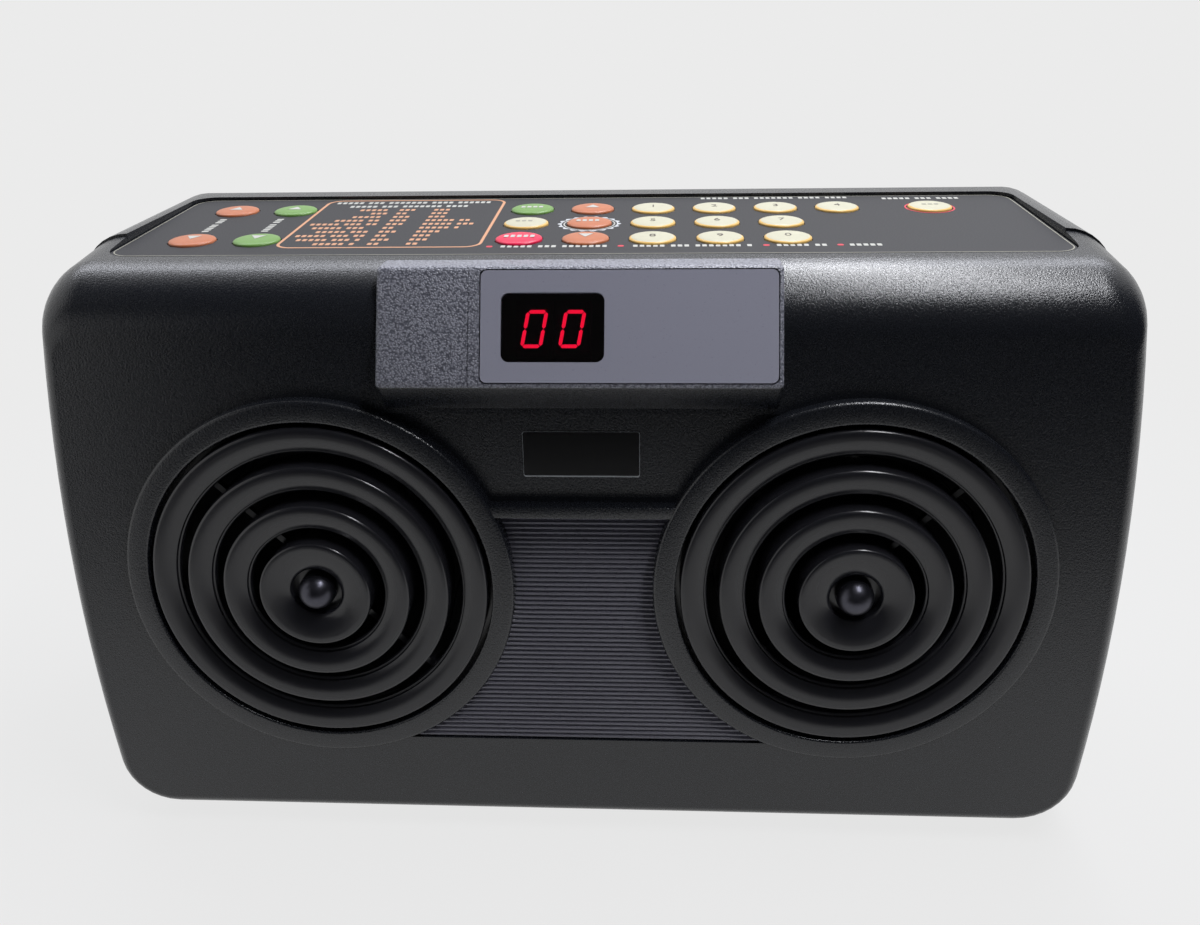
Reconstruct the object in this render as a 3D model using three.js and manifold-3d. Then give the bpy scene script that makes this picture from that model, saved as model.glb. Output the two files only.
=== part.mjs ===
// An electronic tabla: a table-top rhythm box with two louvred loudspeakers, a tilted two-digit
// display and a membrane keypad on top. The housing is a front and a rear moulding that meet on
// a seam; everything else is carried by one of the two. Millimetres, +Z up, +X to the right and
// +Y from the front to the back, with the origin on the table under the middle of the housing.
import * as THREE from 'three';
import { mergeVertices } from 'three/addons/utils/BufferGeometryUtils.js';
import Module from 'manifold-3d';

const wasm = await Module();
wasm.setup();

// Housing. Depths are measured back from the plane of the speaker grilles at speaker height, and
// the key panel's height is measured up from the speakers' axis.
const footHeight = 3;
const speakerHeight = 77.4;
const panelRise = 81;
const panelHeight = speakerHeight + panelRise;
const speakerSpacing = 138.2;
const speakerSideMargin = 70.9;
const housingWidth = speakerSpacing + 2 * speakerSideMargin;
const sideBowRadius = 550;
const wall = 3;
const seamDepth = 41;
const faceSetback = 1.4;
const frontLean = THREE.MathUtils.degToRad(5.85);
const topCornerRadius = 11.5;
const bottomCornerRadius = 17;
const topEdgeRadius = 16;
const sideEdgeRadius = 6.5;
const backEdgeRadius = 5;
const leastRadius = 0.8;
const frontRimRise = 1.5;
const rearRimRise = 2.2;
const backRimRise = 0.8;

// Clearances and what the cuts overrun.
const gap = 0.3;
const overrun = 1;
const weldDistance = 0.001;

// Speakers and their grilles, on a plane that leans back less than the front wall does. The louvre
// rings follow each other inwards, each one a step prouder than the last.
const grilleLean = THREE.MathUtils.degToRad(4.25);
const bezelInnerRadius = 45.4;
const bezelWidth = 5.8;
const bezelOuterRadius = bezelInnerRadius + bezelWidth;
const bezelProud = 0.5;
const collarDepth = 8;
const louvreCount = 3;
const louvreClearance = 1.2;
const louvrePitch = 9.9;
const louvreStep = 1.9;
const louvreFaceWidth = 6.9;
const louvreFaceDrop = 1.7;
const louvreLip = 1.6;
const louvreWall = 1.8;
const louvreRadius = (ring) => bezelInnerRadius - louvreClearance - ring * louvrePitch;
const dishRadius = louvreRadius(louvreCount);
const dishProud = 5;
const dishDrop = 1.9;
const dishBack = 1.4;
const boltRadius = 4.8;
const boltGroove = 1.5;
const boltProud = 6.9;
const webCount = 4;
const webWidth = 2;
const webDepth = 3;
const flangeLap = 4.6;
const flangeRadius = bezelInnerRadius + flangeLap;
const flangeThickness = 2;

// Loudspeaker drivers.
const frameLap = 5.6;
const frameRadius = bezelInnerRadius + frameLap;
const frameClearance = 1;
const frameLip = 1.2;
const frameSheet = 1;
const coneRadius = 35.4;
const coneSheet = 0.9;
const coneDepth = 15;
const coneClearance = 0.4;
const surroundWidth = 5.8;
const surroundSeat = 3.1;
const surroundRise = 1.6;
const surroundSheet = 0.9;
const surroundInnerRadius = coneRadius + coneClearance;
const surroundOuterRadius = surroundInnerRadius + surroundWidth;
const frameLandRadius = surroundOuterRadius - surroundSeat;
const basketDepth = 28;
const basketRearRadius = 27;
const basketStep = 0.9;
const basketFrontRadius = frameLandRadius + basketStep;
const basketWindowWidth = 26;
const coilRadius = 12.6;
const coilSheet = 0.8;
const coilEndClearance = 2.8;
const dustCapRise = 4;
const magnetRadius = 30;
const magnetThickness = 13;
const magnetFloor = 4;

// The display housing on the top front edge. Its rises are measured up from the speakers' axis.
const displayWidth = 97;
const displayHeight = 24.7;
const displayUnderside = 9.3;
const displayFootDepth = 0;
const displayFootRise = panelRise - displayHeight;
const displayTopDepth = 13.5;
const displayTopStep = 0.6;
const displayEdge = 1.2;

// The recessed column between the speakers: a plain field, a bar across it, and the ribbed ramp.
const fieldDepth = 3.7;
const fieldTop = displayFootRise - displayUnderside;
const fieldHeight = 23.9;
const barTop = fieldTop - fieldHeight;
const barHeight = 3.1;
const barSeat = 6.5;
const barHalfWidth = speakerSpacing / 2 - bezelOuterRadius + barSeat;
const rampTopDepth = 5.2;
const rampBottomDepth = 1.2;
const rampBottom = 46.8;
const ribCount = 50;
const ribHeight = 0.55;
const columnInset = 20.3;
const columnHalfWidth = speakerSpacing / 2 - columnInset;

// The label plate let into the display housing's tilted face, right of a strip left bare.
const bareStripWidth = 25.3;
const labelSideMargin = 1.3;
const labelMargin = 0.9;
const labelThickness = 1;
const labelCorner = 1.6;
const windowWidth = 24.7;
const windowHeight = 16.6;
const windowInset = 4.8;
const windowDrop = 0.24;
const windowCorner = 2;
const windowThickness = 1;
const windowLap = 1.5;
const digitWidth = 8.8;
const digitHeight = 13.6;
const digitDepth = 6;
const displayBoardSideLap = 3.65;
const displayBoardTopLap = 1.7;
const boardThickness = 1.6;
const displayPostRadius = 1.8;

// The key panel, its printed overlay and the keys. The panel starts behind the rounded edge and is
// as deep as its three rows of keys ask, and the housing ends behind it.
const panelSideMargin = 18.4;
const panelWidth = housingWidth - 2 * panelSideMargin;
const panelFrontMargin = 0.6;
const panelFront = faceSetback + Math.tan(frontLean) * panelRise + topEdgeRadius + panelFrontMargin;
const keyRows = 3;
const keyPitchAcross = 17.4;
const keyPitchBack = 17.05;
const keyFrontMargin = 14.7;
const keyBackMargin = 16.2;
const leftKeyInset = 17.2;
const rightKeyInset = 25.9;
const firstKeyRow = panelFront + keyFrontMargin;
const panelBack = firstKeyRow + (keyRows - 1) * keyPitchBack + keyBackMargin;
const panelBackMargin = 12;
const backDepth = panelBack + panelBackMargin;
const displayBackMargin = 3.8;
const displayBackDepth = panelFront - displayBackMargin;
const panelFrontCorner = 5;
const panelBackCorner = 8;
const panelThickness = 2.6;
const overlayThickness = 0.5;
const ledgeWidth = 4;
const ledgeThickness = 2.5;
const keyRadius = 6.19;
const keyProud = 1;
const keyEdge = 1.3;
const keySkirt = 1.6;
const keyStemRadius = 2.2;
const keyTravel = 0.5;
const switchSize = 6;
const switchHeight = 2;
const keypadBoardDrop = 7.5;
const keypadBoardMargin = 8;
const panelPostRadius = 2.5;

// The screws that close the housing from the rear, and their bosses.
const screwRadius = 1.4;
const screwHeadRadius = 3;
const screwHeadHeight = 2.2;
const screwSeat = 13;
const screwPilotDepth = 10;
const bossRadius = 4.5;
const bossSideInset = 22;
const bossFootInset = 15;
const bossTopInset = 20.4;
const bossAcross = housingWidth / 2 - bossSideInset;
const bossHeights = { low: footHeight + bossFootInset, high: panelHeight - bossTopInset };

// Rubber feet.
const footRadius = 8;
const footTaper = 1;
const footStubRadius = 2.3;
const footSideInset = 35;
const footSpacing = housingWidth - 2 * footSideInset;
const frontFootDepth = 14;
const rearFootInset = 17.3;
const rearFootDepth = backDepth - rearFootInset;

// Sockets and the power switch on the rear wall, and what stands behind it.
const socketRise = 31;
const socketHeight = footHeight + socketRise;
const inletInset = 42;
const inletAcross = inletInset - housingWidth / 2;
const inletWidth = 26;
const inletTall = 15;
const inletLength = 22;
const inletFlange = 2.5;
const inletFlangeThickness = 1.6;
const inletWellWidth = 18;
const inletWellTall = 8.8;
const inletWellDepth = 14;
const inletRoundShare = 0.45;
const inletPinRadius = 1.2;
const inletPinSpacing = 8.6;
const inletPinLength = 9;
const switchInset = 74;
const switchAcross = switchInset - housingWidth / 2;
const switchWidth = 15;
const switchTall = 21;
const switchLength = 16;
const switchFlange = 1.6;
const switchRim = 1.5;
const switchWellDepth = 7.2;
const rockerTilt = THREE.MathUtils.degToRad(8);
const rockerDepth = 5;
const rockerProud = 1.4;
const rockerBellyShare = 0.7;
const socketSpacing = 24;
const socketInset = 44;
const socketsAcross = housingWidth / 2 - socketInset;
const socketBore = 3.3;
const socketNutRadius = 6.2;
const socketNutThickness = 2;
const socketBodyRadius = 4.6;
const socketBackWidth = 14;
const socketLength = 30;
const socketThreadLength = 9;
const mainBoardWidth = 120;
const mainBoardHeight = 58;
const mainBoardRise = 16;
const mainBoardFoot = socketHeight + mainBoardRise;
const mainBoardStandoff = 6;
const mainBoardPostRadius = 3;
const chipThickness = 4;
const ventSlotWidth = 2.6;
const ventSlotLength = 26;
const ventPitch = 6;
const ventCount = 6;
const ventDrop = 30.4;
const ventHeight = panelHeight - ventDrop;
const transformerWidth = 48;
const transformerAcross = 34;
const transformerDepth = 34;
const transformerBackMargin = 11.3;
const transformerFront = backDepth - transformerBackMargin - transformerDepth;
const transformerHeight = 38;
const coreThickness = 18;
const windingInset = 7;
const tabThickness = 1.6;
const tabReach = 5;

// Facet counts.
const roundSides = 20;
const driverSides = 12;
const keySides = 10;
const smallSides = 8;
const nutSides = 6;
const domeSteps = 3;
const edgeSteps = 4;
const cornerSteps = 3;
const sideSteps = 4;

// Finishes.
function finish(color, roughness, metalness = 0) {
  return new THREE.MeshStandardMaterial({ color, roughness, metalness });
}
const grainedPlastic = finish(0x1d1e20, 0.55);
const smoothPlastic = finish(0x141415, 0.35);
const overlayFilm = finish(0x2a2a2c, 0.6);
const labelFilm = finish(0x4c4c58, 0.4);
const smokedAcrylic = finish(0x0a080c, 0.1);
const digitPlastic = finish(0x15151a, 0.5);
const circuitBoard = finish(0x1f5a35, 0.5);
const boardBrown = finish(0x8a6a3c, 0.6);
const pressedSteel = finish(0x8b8d90, 0.4, 0.9);
const ferrite = finish(0x33343a, 0.6, 0.2);
const conePaper = finish(0x1b1b1b, 0.9);
const foam = finish(0x101010, 0.95);
const coreSteel = finish(0x6d6f73, 0.5, 0.8);
const rubber = finish(0x161616, 0.9);
const zincSteel = finish(0xb7b9bc, 0.35, 1);
const keyFinishes = {
  orange: finish(0xcd7850, 0.4),
  green: finish(0x78b455, 0.4),
  red: finish(0xd72d55, 0.4),
  cream: finish(0xf0f0dc, 0.4),
};

// Solids: a closed geometry becomes a solid to join and cut, and a solid becomes a geometry again.
function solid(geometry) {
  const bare = geometry.clone();
  bare.deleteAttribute('normal');
  bare.deleteAttribute('uv');
  const welded = mergeVertices(bare, weldDistance);
  const corners = welded.index.array;
  const kept = [];
  for (let i = 0; i < corners.length; i += 3) {
    const [a, b, c] = [corners[i], corners[i + 1], corners[i + 2]];
    if (a !== b && b !== c && c !== a) kept.push(a, b, c);
  }
  return new wasm.Manifold(new wasm.Mesh({
    numProp: 3,
    vertProperties: new Float32Array(welded.attributes.position.array),
    triVerts: new Uint32Array(kept),
  }));
}

function geometryOf(body) {
  const mesh = body.getMesh();
  const geometry = new THREE.BufferGeometry();
  geometry.setAttribute('position', new THREE.BufferAttribute(new Float32Array(mesh.vertProperties), 3));
  geometry.setIndex(new THREE.BufferAttribute(new Uint32Array(mesh.triVerts), 1));
  const faceted = geometry.toNonIndexed();
  faceted.computeVertexNormals();
  return faceted;
}

const join = (first, ...others) => others.reduce((whole, next) => whole.add(next), first);
const cut = (first, ...others) => others.reduce((whole, next) => whole.subtract(next), first);

// Boxes by their lowest and highest corners.
function block([x0, x1], [y0, y1], [z0, z1]) {
  const geometry = new THREE.BoxGeometry(x1 - x0, y1 - y0, z1 - z0);
  return geometry.translate((x0 + x1) / 2, (y0 + y1) / 2, (z0 + z1) / 2);
}

// A shape drawn seen from the front, x across and y up, reaching from one depth to another.
function slab(shape, front, back, curveSegments = cornerSteps) {
  const options = { depth: back - front, bevelEnabled: false, curveSegments };
  return new THREE.ExtrudeGeometry(shape, options).translate(0, 0, -back).rotateX(Math.PI / 2);
}

// A shape drawn seen from above, x across and y to the back, reaching from one height to another.
function plate(shape, low, high, curveSegments = cornerSteps) {
  const options = { depth: high - low, bevelEnabled: false, curveSegments };
  return new THREE.ExtrudeGeometry(shape, options).translate(0, 0, low);
}

// A profile of [depth, height] points, reaching across from x0 to x1.
function profileAcross(points, x0, x1) {
  const shape = new THREE.Shape(points.map(([y, z]) => new THREE.Vector2(y, z)));
  const geometry = new THREE.ExtrudeGeometry(shape, { depth: x1 - x0, bevelEnabled: false });
  // The shape's x and y become Y and Z, and the extrusion runs along X.
  const turn = new THREE.Matrix4().makeBasis(
    new THREE.Vector3(0, 1, 0), new THREE.Vector3(0, 0, 1), new THREE.Vector3(1, 0, 0));
  return geometry.applyMatrix4(turn).translate(x0, 0, 0);
}

// A profile of [radius, along] points turned round the Y axis, closed on itself or on the axis.
function turned(points, sides = roundSides) {
  const outline = points.map(([radius, along]) => new THREE.Vector2(radius, along));
  if (THREE.ShapeUtils.isClockWise(outline)) outline.reverse();
  const onAxis = outline.findIndex((point, i) => point.x === 0
    && outline[(i + outline.length - 1) % outline.length].x === 0);
  const start = Math.max(onAxis, 0);
  const ordered = outline.slice(start).concat(outline.slice(0, start));
  if (onAxis < 0) ordered.push(ordered[0].clone());
  return new THREE.LatheGeometry(ordered, sides);
}

// The same with [radius, height] points, turned round the Z axis.
const stood = (points, sides = smallSides) => turned(points, sides).rotateX(Math.PI / 2);

function rod(radius, x, z, front, back, sides = smallSides) {
  return turned([[0, front], [radius, front], [radius, back], [0, back]], sides).translate(x, 0, z);
}

function post(radius, x, y, low, high, sides = smallSides) {
  return stood([[0, low], [radius, low], [radius, high], [0, high]], sides).translate(x, y, 0);
}

function roundedRectangle(x0, x1, y0, y1, lowCorner, highCorner = lowCorner) {
  const shape = new THREE.Shape();
  shape.moveTo(x0 + lowCorner, y0);
  shape.lineTo(x1 - lowCorner, y0);
  shape.absarc(x1 - lowCorner, y0 + lowCorner, lowCorner, -Math.PI / 2, 0);
  shape.lineTo(x1, y1 - highCorner);
  shape.absarc(x1 - highCorner, y1 - highCorner, highCorner, 0, Math.PI / 2);
  shape.lineTo(x0 + highCorner, y1);
  shape.absarc(x0 + highCorner, y1 - highCorner, highCorner, Math.PI / 2, Math.PI);
  shape.lineTo(x0, y0 + lowCorner);
  shape.absarc(x0 + lowCorner, y0 + lowCorner, lowCorner, Math.PI, Math.PI * 3 / 2);
  return shape;
}

// The housing is lofted through rings. Each ring is the front view's outline, its sides bowed,
// drawn in from the full size by its insets.
function housingRing({ side, above, below, top, depthAt }) {
  const half = housingWidth / 2 - side;
  const low = footHeight + below;
  const high = top - above;
  const lowRadius = Math.max(bottomCornerRadius - below, leastRadius);
  const highRadius = Math.max(topCornerRadius - side, leastRadius);
  const points = [];
  const corner = (x, z, radius, start) => {
    for (let i = 0; i <= cornerSteps; i += 1) {
      const angle = (start + i / cornerSteps) * Math.PI / 2;
      points.push([x + radius * Math.cos(angle), z + radius * Math.sin(angle)]);
    }
  };
  const flank = (x, from, to) => {
    for (let i = 1; i < sideSteps; i += 1) points.push([x, from + (to - from) * i / sideSteps]);
  };
  corner(half - lowRadius, low + lowRadius, lowRadius, -1);
  flank(half, low + lowRadius, high - highRadius);
  corner(half - highRadius, high - highRadius, highRadius, 0);
  corner(highRadius - half, high - highRadius, highRadius, 1);
  flank(-half, high - highRadius, low + lowRadius);
  corner(lowRadius - half, low + lowRadius, lowRadius, 2);
  return points.map(([x, z]) => {
    const bow = (z - speakerHeight) ** 2 / (2 * sideBowRadius);
    return new THREE.Vector3(x - Math.sign(x) * bow, depthAt(z), z);
  });
}

function loft(rings) {
  const count = rings[0].length;
  const positions = rings.flat().flatMap((point) => point.toArray());
  const triangles = [];
  for (let i = 0; i + 1 < rings.length; i += 1) {
    for (let j = 0; j < count; j += 1) {
      const near = i * count + j;
      const nearNext = i * count + (j + 1) % count;
      triangles.push(near, near + count, nearNext + count, near, nearNext + count, nearNext);
    }
  }
  const cap = (ring, offset, flip) => {
    const flat = ring.map((point) => new THREE.Vector2(point.x, point.z));
    for (const [a, b, c] of THREE.ShapeUtils.triangulateShape(flat, [])) {
      triangles.push(...(flip ? [c, b, a] : [a, b, c]).map((corner) => corner + offset));
    }
  };
  cap(rings[0], 0, false);
  cap(rings.at(-1), (rings.length - 1) * count, true);
  const geometry = new THREE.BufferGeometry();
  geometry.setAttribute('position', new THREE.Float32BufferAttribute(positions, 3));
  geometry.setIndex(triangles);
  return geometry;
}

const frontWallAt = (z) => faceSetback + Math.tan(frontLean) * (z - speakerHeight);
const grillePlaneAt = (z) => Math.tan(grilleLean) * (z - speakerHeight);

// The front moulding's volume, or its inside when drawn in by the wall.
function frontVolume(inset, end) {
  const rings = [];
  for (let i = 0; i <= edgeSteps; i += 1) {
    const angle = i / edgeSteps * Math.PI / 2;
    const drawn = 1 - Math.sin(angle);
    const deep = (topEdgeRadius - inset) * (1 - Math.cos(angle));
    const side = inset + (sideEdgeRadius - inset) * drawn;
    const above = inset + (topEdgeRadius - inset) * drawn;
    rings.push(housingRing({
      side, above, below: side, top: panelHeight, depthAt: (z) => frontWallAt(z) + inset + deep,
    }));
  }
  rings.push(housingRing({
    side: inset, above: inset, below: inset, top: panelHeight + frontRimRise, depthAt: () => end,
  }));
  return loft(rings);
}

function rearVolume(inset, start) {
  const rings = [housingRing({
    side: inset, above: inset, below: inset, top: panelHeight + rearRimRise, depthAt: () => start,
  })];
  for (let i = 0; i <= edgeSteps; i += 1) {
    const angle = i / edgeSteps * Math.PI / 2;
    const radius = Math.max(backEdgeRadius - inset, leastRadius);
    const drawn = inset + radius * (1 - Math.cos(angle));
    const depth = backDepth - inset - radius * (1 - Math.sin(angle));
    rings.push(housingRing({
      side: drawn, above: drawn, below: drawn, top: panelHeight + backRimRise, depthAt: () => depth,
    }));
  }
  return loft(rings);
}

// What is built on the leaning plane of the grilles is drawn there and then laid on it.
const grillePlane = new THREE.Matrix4()
  .makeTranslation(0, 0, speakerHeight)
  .multiply(new THREE.Matrix4().makeRotationX(-grilleLean));
const onGrillePlane = (geometry) => geometry.applyMatrix4(grillePlane);
const speakerSides = { left: -1, right: 1 };
const eachSpeaker = (make) => Object.values(speakerSides).map((side) => (
  solid(onGrillePlane(make().translate(side * speakerSpacing / 2, 0, 0)))));

// The display's tilted face has its own frame: x across, up the slope, and depth behind it.
const displayTopRise = panelHeight + displayTopStep - speakerHeight;
const displayLean = Math.atan2(displayTopDepth - displayFootDepth, displayTopRise - displayFootRise);
const displaySlope = Math.hypot(displayTopDepth - displayFootDepth, displayTopRise - displayFootRise);
const displayPlane = new THREE.Matrix4()
  .makeTranslation(0, displayFootDepth, speakerHeight + displayFootRise)
  .multiply(new THREE.Matrix4().makeRotationX(-displayLean));
const onDisplay = (geometry) => geometry.applyMatrix4(displayPlane);
const labelTop = displaySlope - labelMargin;
const labelLeft = bareStripWidth - displayWidth / 2;
const labelRight = displayWidth / 2 - labelSideMargin;
const windowLeft = labelLeft + windowInset;
const windowAcross = windowLeft + windowWidth / 2;
const windowMiddle = displaySlope / 2 - windowDrop;

function labelOutline(clearance) {
  return roundedRectangle(labelLeft - clearance, labelRight + clearance,
    labelMargin - clearance, labelTop + clearance, labelCorner);
}

function windowOutline(growth) {
  return roundedRectangle(windowLeft - growth, windowLeft + windowWidth + growth,
    windowMiddle - windowHeight / 2 - growth, windowMiddle + windowHeight / 2 + growth, windowCorner);
}

const labelSeat = labelThickness + gap;
const windowSeat = labelSeat + windowThickness + gap;
const displayWallBack = windowSeat + wall / 2;
const digitFront = windowSeat + gap;
const displayBoardFront = digitFront + digitDepth + gap;
const displayBoardWidth = windowWidth + 2 * displayBoardSideLap;
const displayBoardHeight = windowHeight + 2 * displayBoardTopLap;

function displayHousing() {
  const foot = speakerHeight + displayFootRise;
  const top = panelHeight + displayTopStep;
  const undersideHeight = speakerHeight + fieldTop;
  const undersideDepth = grillePlaneAt(undersideHeight) + fieldDepth;
  const rise = displayEdge * Math.cos(displayLean);
  const run = displayEdge * Math.sin(displayLean);
  const outer = [
    [displayFootDepth + displayEdge, foot - displayEdge],
    [displayFootDepth + run, foot + rise],
    [displayTopDepth - run, top - rise],
    [displayTopDepth + displayEdge, top],
    [displayBackDepth, panelHeight],
    [displayBackDepth, panelHeight - wall],
    [undersideDepth + wall, undersideHeight],
    [undersideDepth, undersideHeight],
  ];
  return profileAcross(outer, -displayWidth / 2, displayWidth / 2);
}

// The hollow behind the tilted face runs parallel to it and opens into the housing.
function displayHollow() {
  const foot = speakerHeight + displayFootRise;
  const ceiling = panelHeight - wall;
  const behind = displayWallBack / Math.cos(displayLean);
  const undersideHeight = speakerHeight + fieldTop;
  const faceAt = (z) => displayFootDepth + (z - foot) * Math.tan(displayLean);
  const inner = [
    [faceAt(foot) + behind, foot],
    [faceAt(ceiling) + behind, ceiling],
    [displayBackDepth + overrun, ceiling],
    [displayBackDepth + overrun, undersideHeight + wall],
    [grillePlaneAt(undersideHeight) + fieldDepth + wall, undersideHeight + wall / 2],
  ];
  return profileAcross(inner, wall - displayWidth / 2, displayWidth / 2 - wall);
}

// The ribbed ramp: the face of the cut follows the ribs from under the bar to the bottom.
const rampTop = barTop - barHeight;
const rampSlope = (rampTopDepth - rampBottomDepth) / (rampTop + rampBottom);
function rampCut() {
  const pitch = (rampTop + rampBottom) / ribCount;
  const depthAt = (up) => rampBottomDepth + rampSlope * (up + rampBottom);
  const points = [[-wall, rampTop]];
  for (let i = 0; i < ribCount; i += 1) {
    const up = rampTop - i * pitch;
    points.push([depthAt(up), up]);
    points.push([depthAt(up - pitch / 2) - ribHeight, up - pitch / 2]);
  }
  points.push([rampBottomDepth, -rampBottom]);
  points.push([-wall, -rampBottom]);
  return profileAcross(points, -columnHalfWidth, columnHalfWidth);
}

function panelOutline(growth) {
  return roundedRectangle(-panelWidth / 2 - growth, panelWidth / 2 + growth,
    panelFront - growth, panelBack + growth,
    Math.max(panelFrontCorner + growth, leastRadius), Math.max(panelBackCorner + growth, leastRadius));
}

const panelTop = panelHeight - overlayThickness - gap;
const panelUnderside = panelTop - panelThickness;
const ledgeTop = panelUnderside - gap;
const ledgeUnderside = ledgeTop - ledgeThickness;

// The ledge that the key panel rests on, as one frame that the seam then divides.
function panelLedge() {
  const frame = panelOutline(gap + wall);
  frame.holes.push(panelOutline(-ledgeWidth));
  return solid(plate(frame, ledgeUnderside, panelHeight - wall / 2));
}

const bosses = Object.entries(speakerSides).flatMap(([side, sign]) => (
  Object.entries(bossHeights).map(([level, z]) => ({ name: `${level}_${side}`, x: sign * bossAcross, z }))));
const screwSeatDepth = seamDepth + gap + screwSeat;
const screwEndDepth = seamDepth - screwPilotDepth + overrun;

// A pan-head screw, whose thread ends in the front moulding.
function housingScrew() {
  return turned([
    [0, screwEndDepth],
    [screwRadius / 2, screwEndDepth],
    [screwRadius, screwEndDepth + screwRadius],
    [screwRadius, screwSeatDepth + gap],
    [screwHeadRadius, screwSeatDepth + gap],
    [screwHeadRadius, screwSeatDepth + gap + screwHeadHeight],
    [0, screwSeatDepth + gap + screwHeadHeight],
  ], smallSides);
}

const displayPosts = [-1, 1].flatMap((side) => [-1, 1].map((rise) => ({
  x: windowAcross + side * (displayBoardWidth / 2 - displayPostRadius),
  up: windowMiddle + rise * (displayBoardHeight / 2 - displayPostRadius),
})));

const footHoles = (depth) => Object.values(speakerSides).map((side) => (
  solid(post(footStubRadius + gap, side * footSpacing / 2, depth, 0, 2 * footHeight + wall))));

function frontShell() {
  const reach = housingWidth;
  let shell = cut(solid(frontVolume(0, seamDepth)), solid(frontVolume(wall, seamDepth + overrun)));
  // A second wall behind the column, and then the column's two cuts with the bar between them.
  const backing = onGrillePlane(profileAcross([
    [wall / 2, -rampBottom - wall],
    [rampBottomDepth + wall, -rampBottom - wall],
    [rampTopDepth + wall, rampTop],
    [rampTopDepth + wall, barTop],
    [fieldDepth + wall, fieldTop + wall],
    [wall / 2, fieldTop + wall],
  ], -columnHalfWidth, columnHalfWidth));
  const field = onGrillePlane(block(
    [-columnHalfWidth, columnHalfWidth], [-reach, fieldDepth], [barTop, fieldTop]));
  const bar = roundedRectangle(-barHalfWidth, barHalfWidth, rampTop, barTop, leastRadius);
  shell = join(shell, solid(backing), solid(displayHousing()));
  shell = cut(shell, solid(displayHollow()), solid(field), solid(onGrillePlane(rampCut())));
  shell = join(shell, solid(onGrillePlane(slab(bar, 0, rampTopDepth, 2))));
  // Bezels round the speakers, and their bores.
  const collar = () => turned([[bezelInnerRadius - overrun, -bezelProud], [bezelOuterRadius, -bezelProud],
    [bezelOuterRadius, collarDepth], [bezelInnerRadius - overrun, collarDepth]]);
  const bore = () => turned([[0, -wall], [bezelInnerRadius, -wall], [bezelInnerRadius, collarDepth],
    [frameRadius + frameClearance, collarDepth], [frameRadius + frameClearance, seamDepth],
    [0, seamDepth]]);
  shell = cut(join(shell, ...eachSpeaker(collar)), ...eachSpeaker(bore));
  // The label's seat, the window's seat behind it and the opening for the digits.
  shell = cut(shell,
    solid(onDisplay(slab(labelOutline(gap), -wall, labelSeat))),
    solid(onDisplay(slab(windowOutline(windowLap + gap), 0, windowSeat))),
    solid(onDisplay(slab(windowOutline(0), 0, displayBoardFront))));
  const boardPosts = displayPosts.map(({ x, up }) => (
    solid(onDisplay(rod(displayPostRadius, x, up, windowSeat + gap, displayBoardFront - gap)))));
  shell = join(shell, ...boardPosts);
  // The ledge and the opening for the key panel.
  const frontHalf = solid(block([-reach, reach], [-reach, seamDepth], [0, reach]));
  shell = join(shell, panelLedge().intersect(frontHalf));
  shell = cut(shell, solid(plate(panelOutline(gap), ledgeTop, panelHeight + reach)));
  for (const { x, z } of bosses) {
    shell = join(shell, solid(rod(bossRadius, x, z, frontWallAt(z) + wall / 2, seamDepth)));
    shell = cut(shell, solid(rod(screwRadius + gap, x, z, seamDepth - screwPilotDepth, seamDepth + overrun)));
  }
  return cut(shell, ...footHoles(frontFootDepth));
}

function ventCuts() {
  const cuts = [];
  for (let i = 0; i < ventCount; i += 1) {
    const across = (i - (ventCount - 1) / 2) * ventPitch;
    const slot = block([across - ventSlotWidth / 2, across + ventSlotWidth / 2],
      [backDepth - 2 * wall, backDepth + overrun],
      [ventHeight - ventSlotLength / 2, ventHeight + ventSlotLength / 2]);
    for (const side of [-1, 1]) cuts.push(solid(slot.clone().translate(side * speakerSpacing / 2, 0, 0)));
  }
  return cuts;
}

const mainBoardBack = backDepth - wall - mainBoardStandoff;
const mainBoardFront = mainBoardBack - boardThickness;
const mainBoardPosts = [-1, 1].flatMap((side) => [-1, 1].map((rise) => ({
  x: side * (mainBoardWidth / 2 - 2 * mainBoardPostRadius),
  z: mainBoardFoot + mainBoardHeight / 2 + rise * (mainBoardHeight / 2 - 2 * mainBoardPostRadius),
})));
const transformerFloor = footHeight + wall + gap;

function rearShell() {
  const reach = housingWidth;
  const start = seamDepth + gap;
  let shell = cut(solid(rearVolume(0, start)), solid(rearVolume(wall, start - overrun)));
  const rearHalf = solid(block([-reach, reach], [start, backDepth - wall / 2], [0, reach]));
  shell = join(shell, panelLedge().intersect(rearHalf));
  shell = cut(shell, solid(plate(panelOutline(gap), ledgeTop, panelHeight + reach)));
  for (const { x, z } of bosses) {
    shell = join(shell, solid(rod(bossRadius, x, z, start, backDepth - wall / 2)));
    shell = cut(shell,
      solid(rod(screwRadius + gap, x, z, start - overrun, backDepth)),
      solid(rod(screwHeadRadius + gap, x, z, screwSeatDepth, backDepth + overrun)));
  }
  for (const { x, z } of mainBoardPosts) {
    shell = join(shell, solid(rod(mainBoardPostRadius, x, z, mainBoardBack + gap, backDepth - wall / 2)));
  }
  shell = cut(shell, ...footHoles(rearFootDepth));
  const throughWall = [backDepth - 2 * wall, backDepth + overrun];
  const opening = (across, width, tall) => solid(block(
    [across - width / 2 - gap, across + width / 2 + gap], throughWall,
    [socketHeight - tall / 2 - gap, socketHeight + tall / 2 + gap]));
  shell = cut(shell,
    opening(inletAcross, inletWidth, inletTall),
    opening(switchAcross, switchWidth, switchTall));
  for (const side of [-1, 1]) {
    const across = socketsAcross + side * socketSpacing / 2;
    shell = cut(shell, solid(rod(socketBodyRadius + gap, across, socketHeight, ...throughWall, keySides)));
  }
  return cut(shell, ...ventCuts());
}

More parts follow.
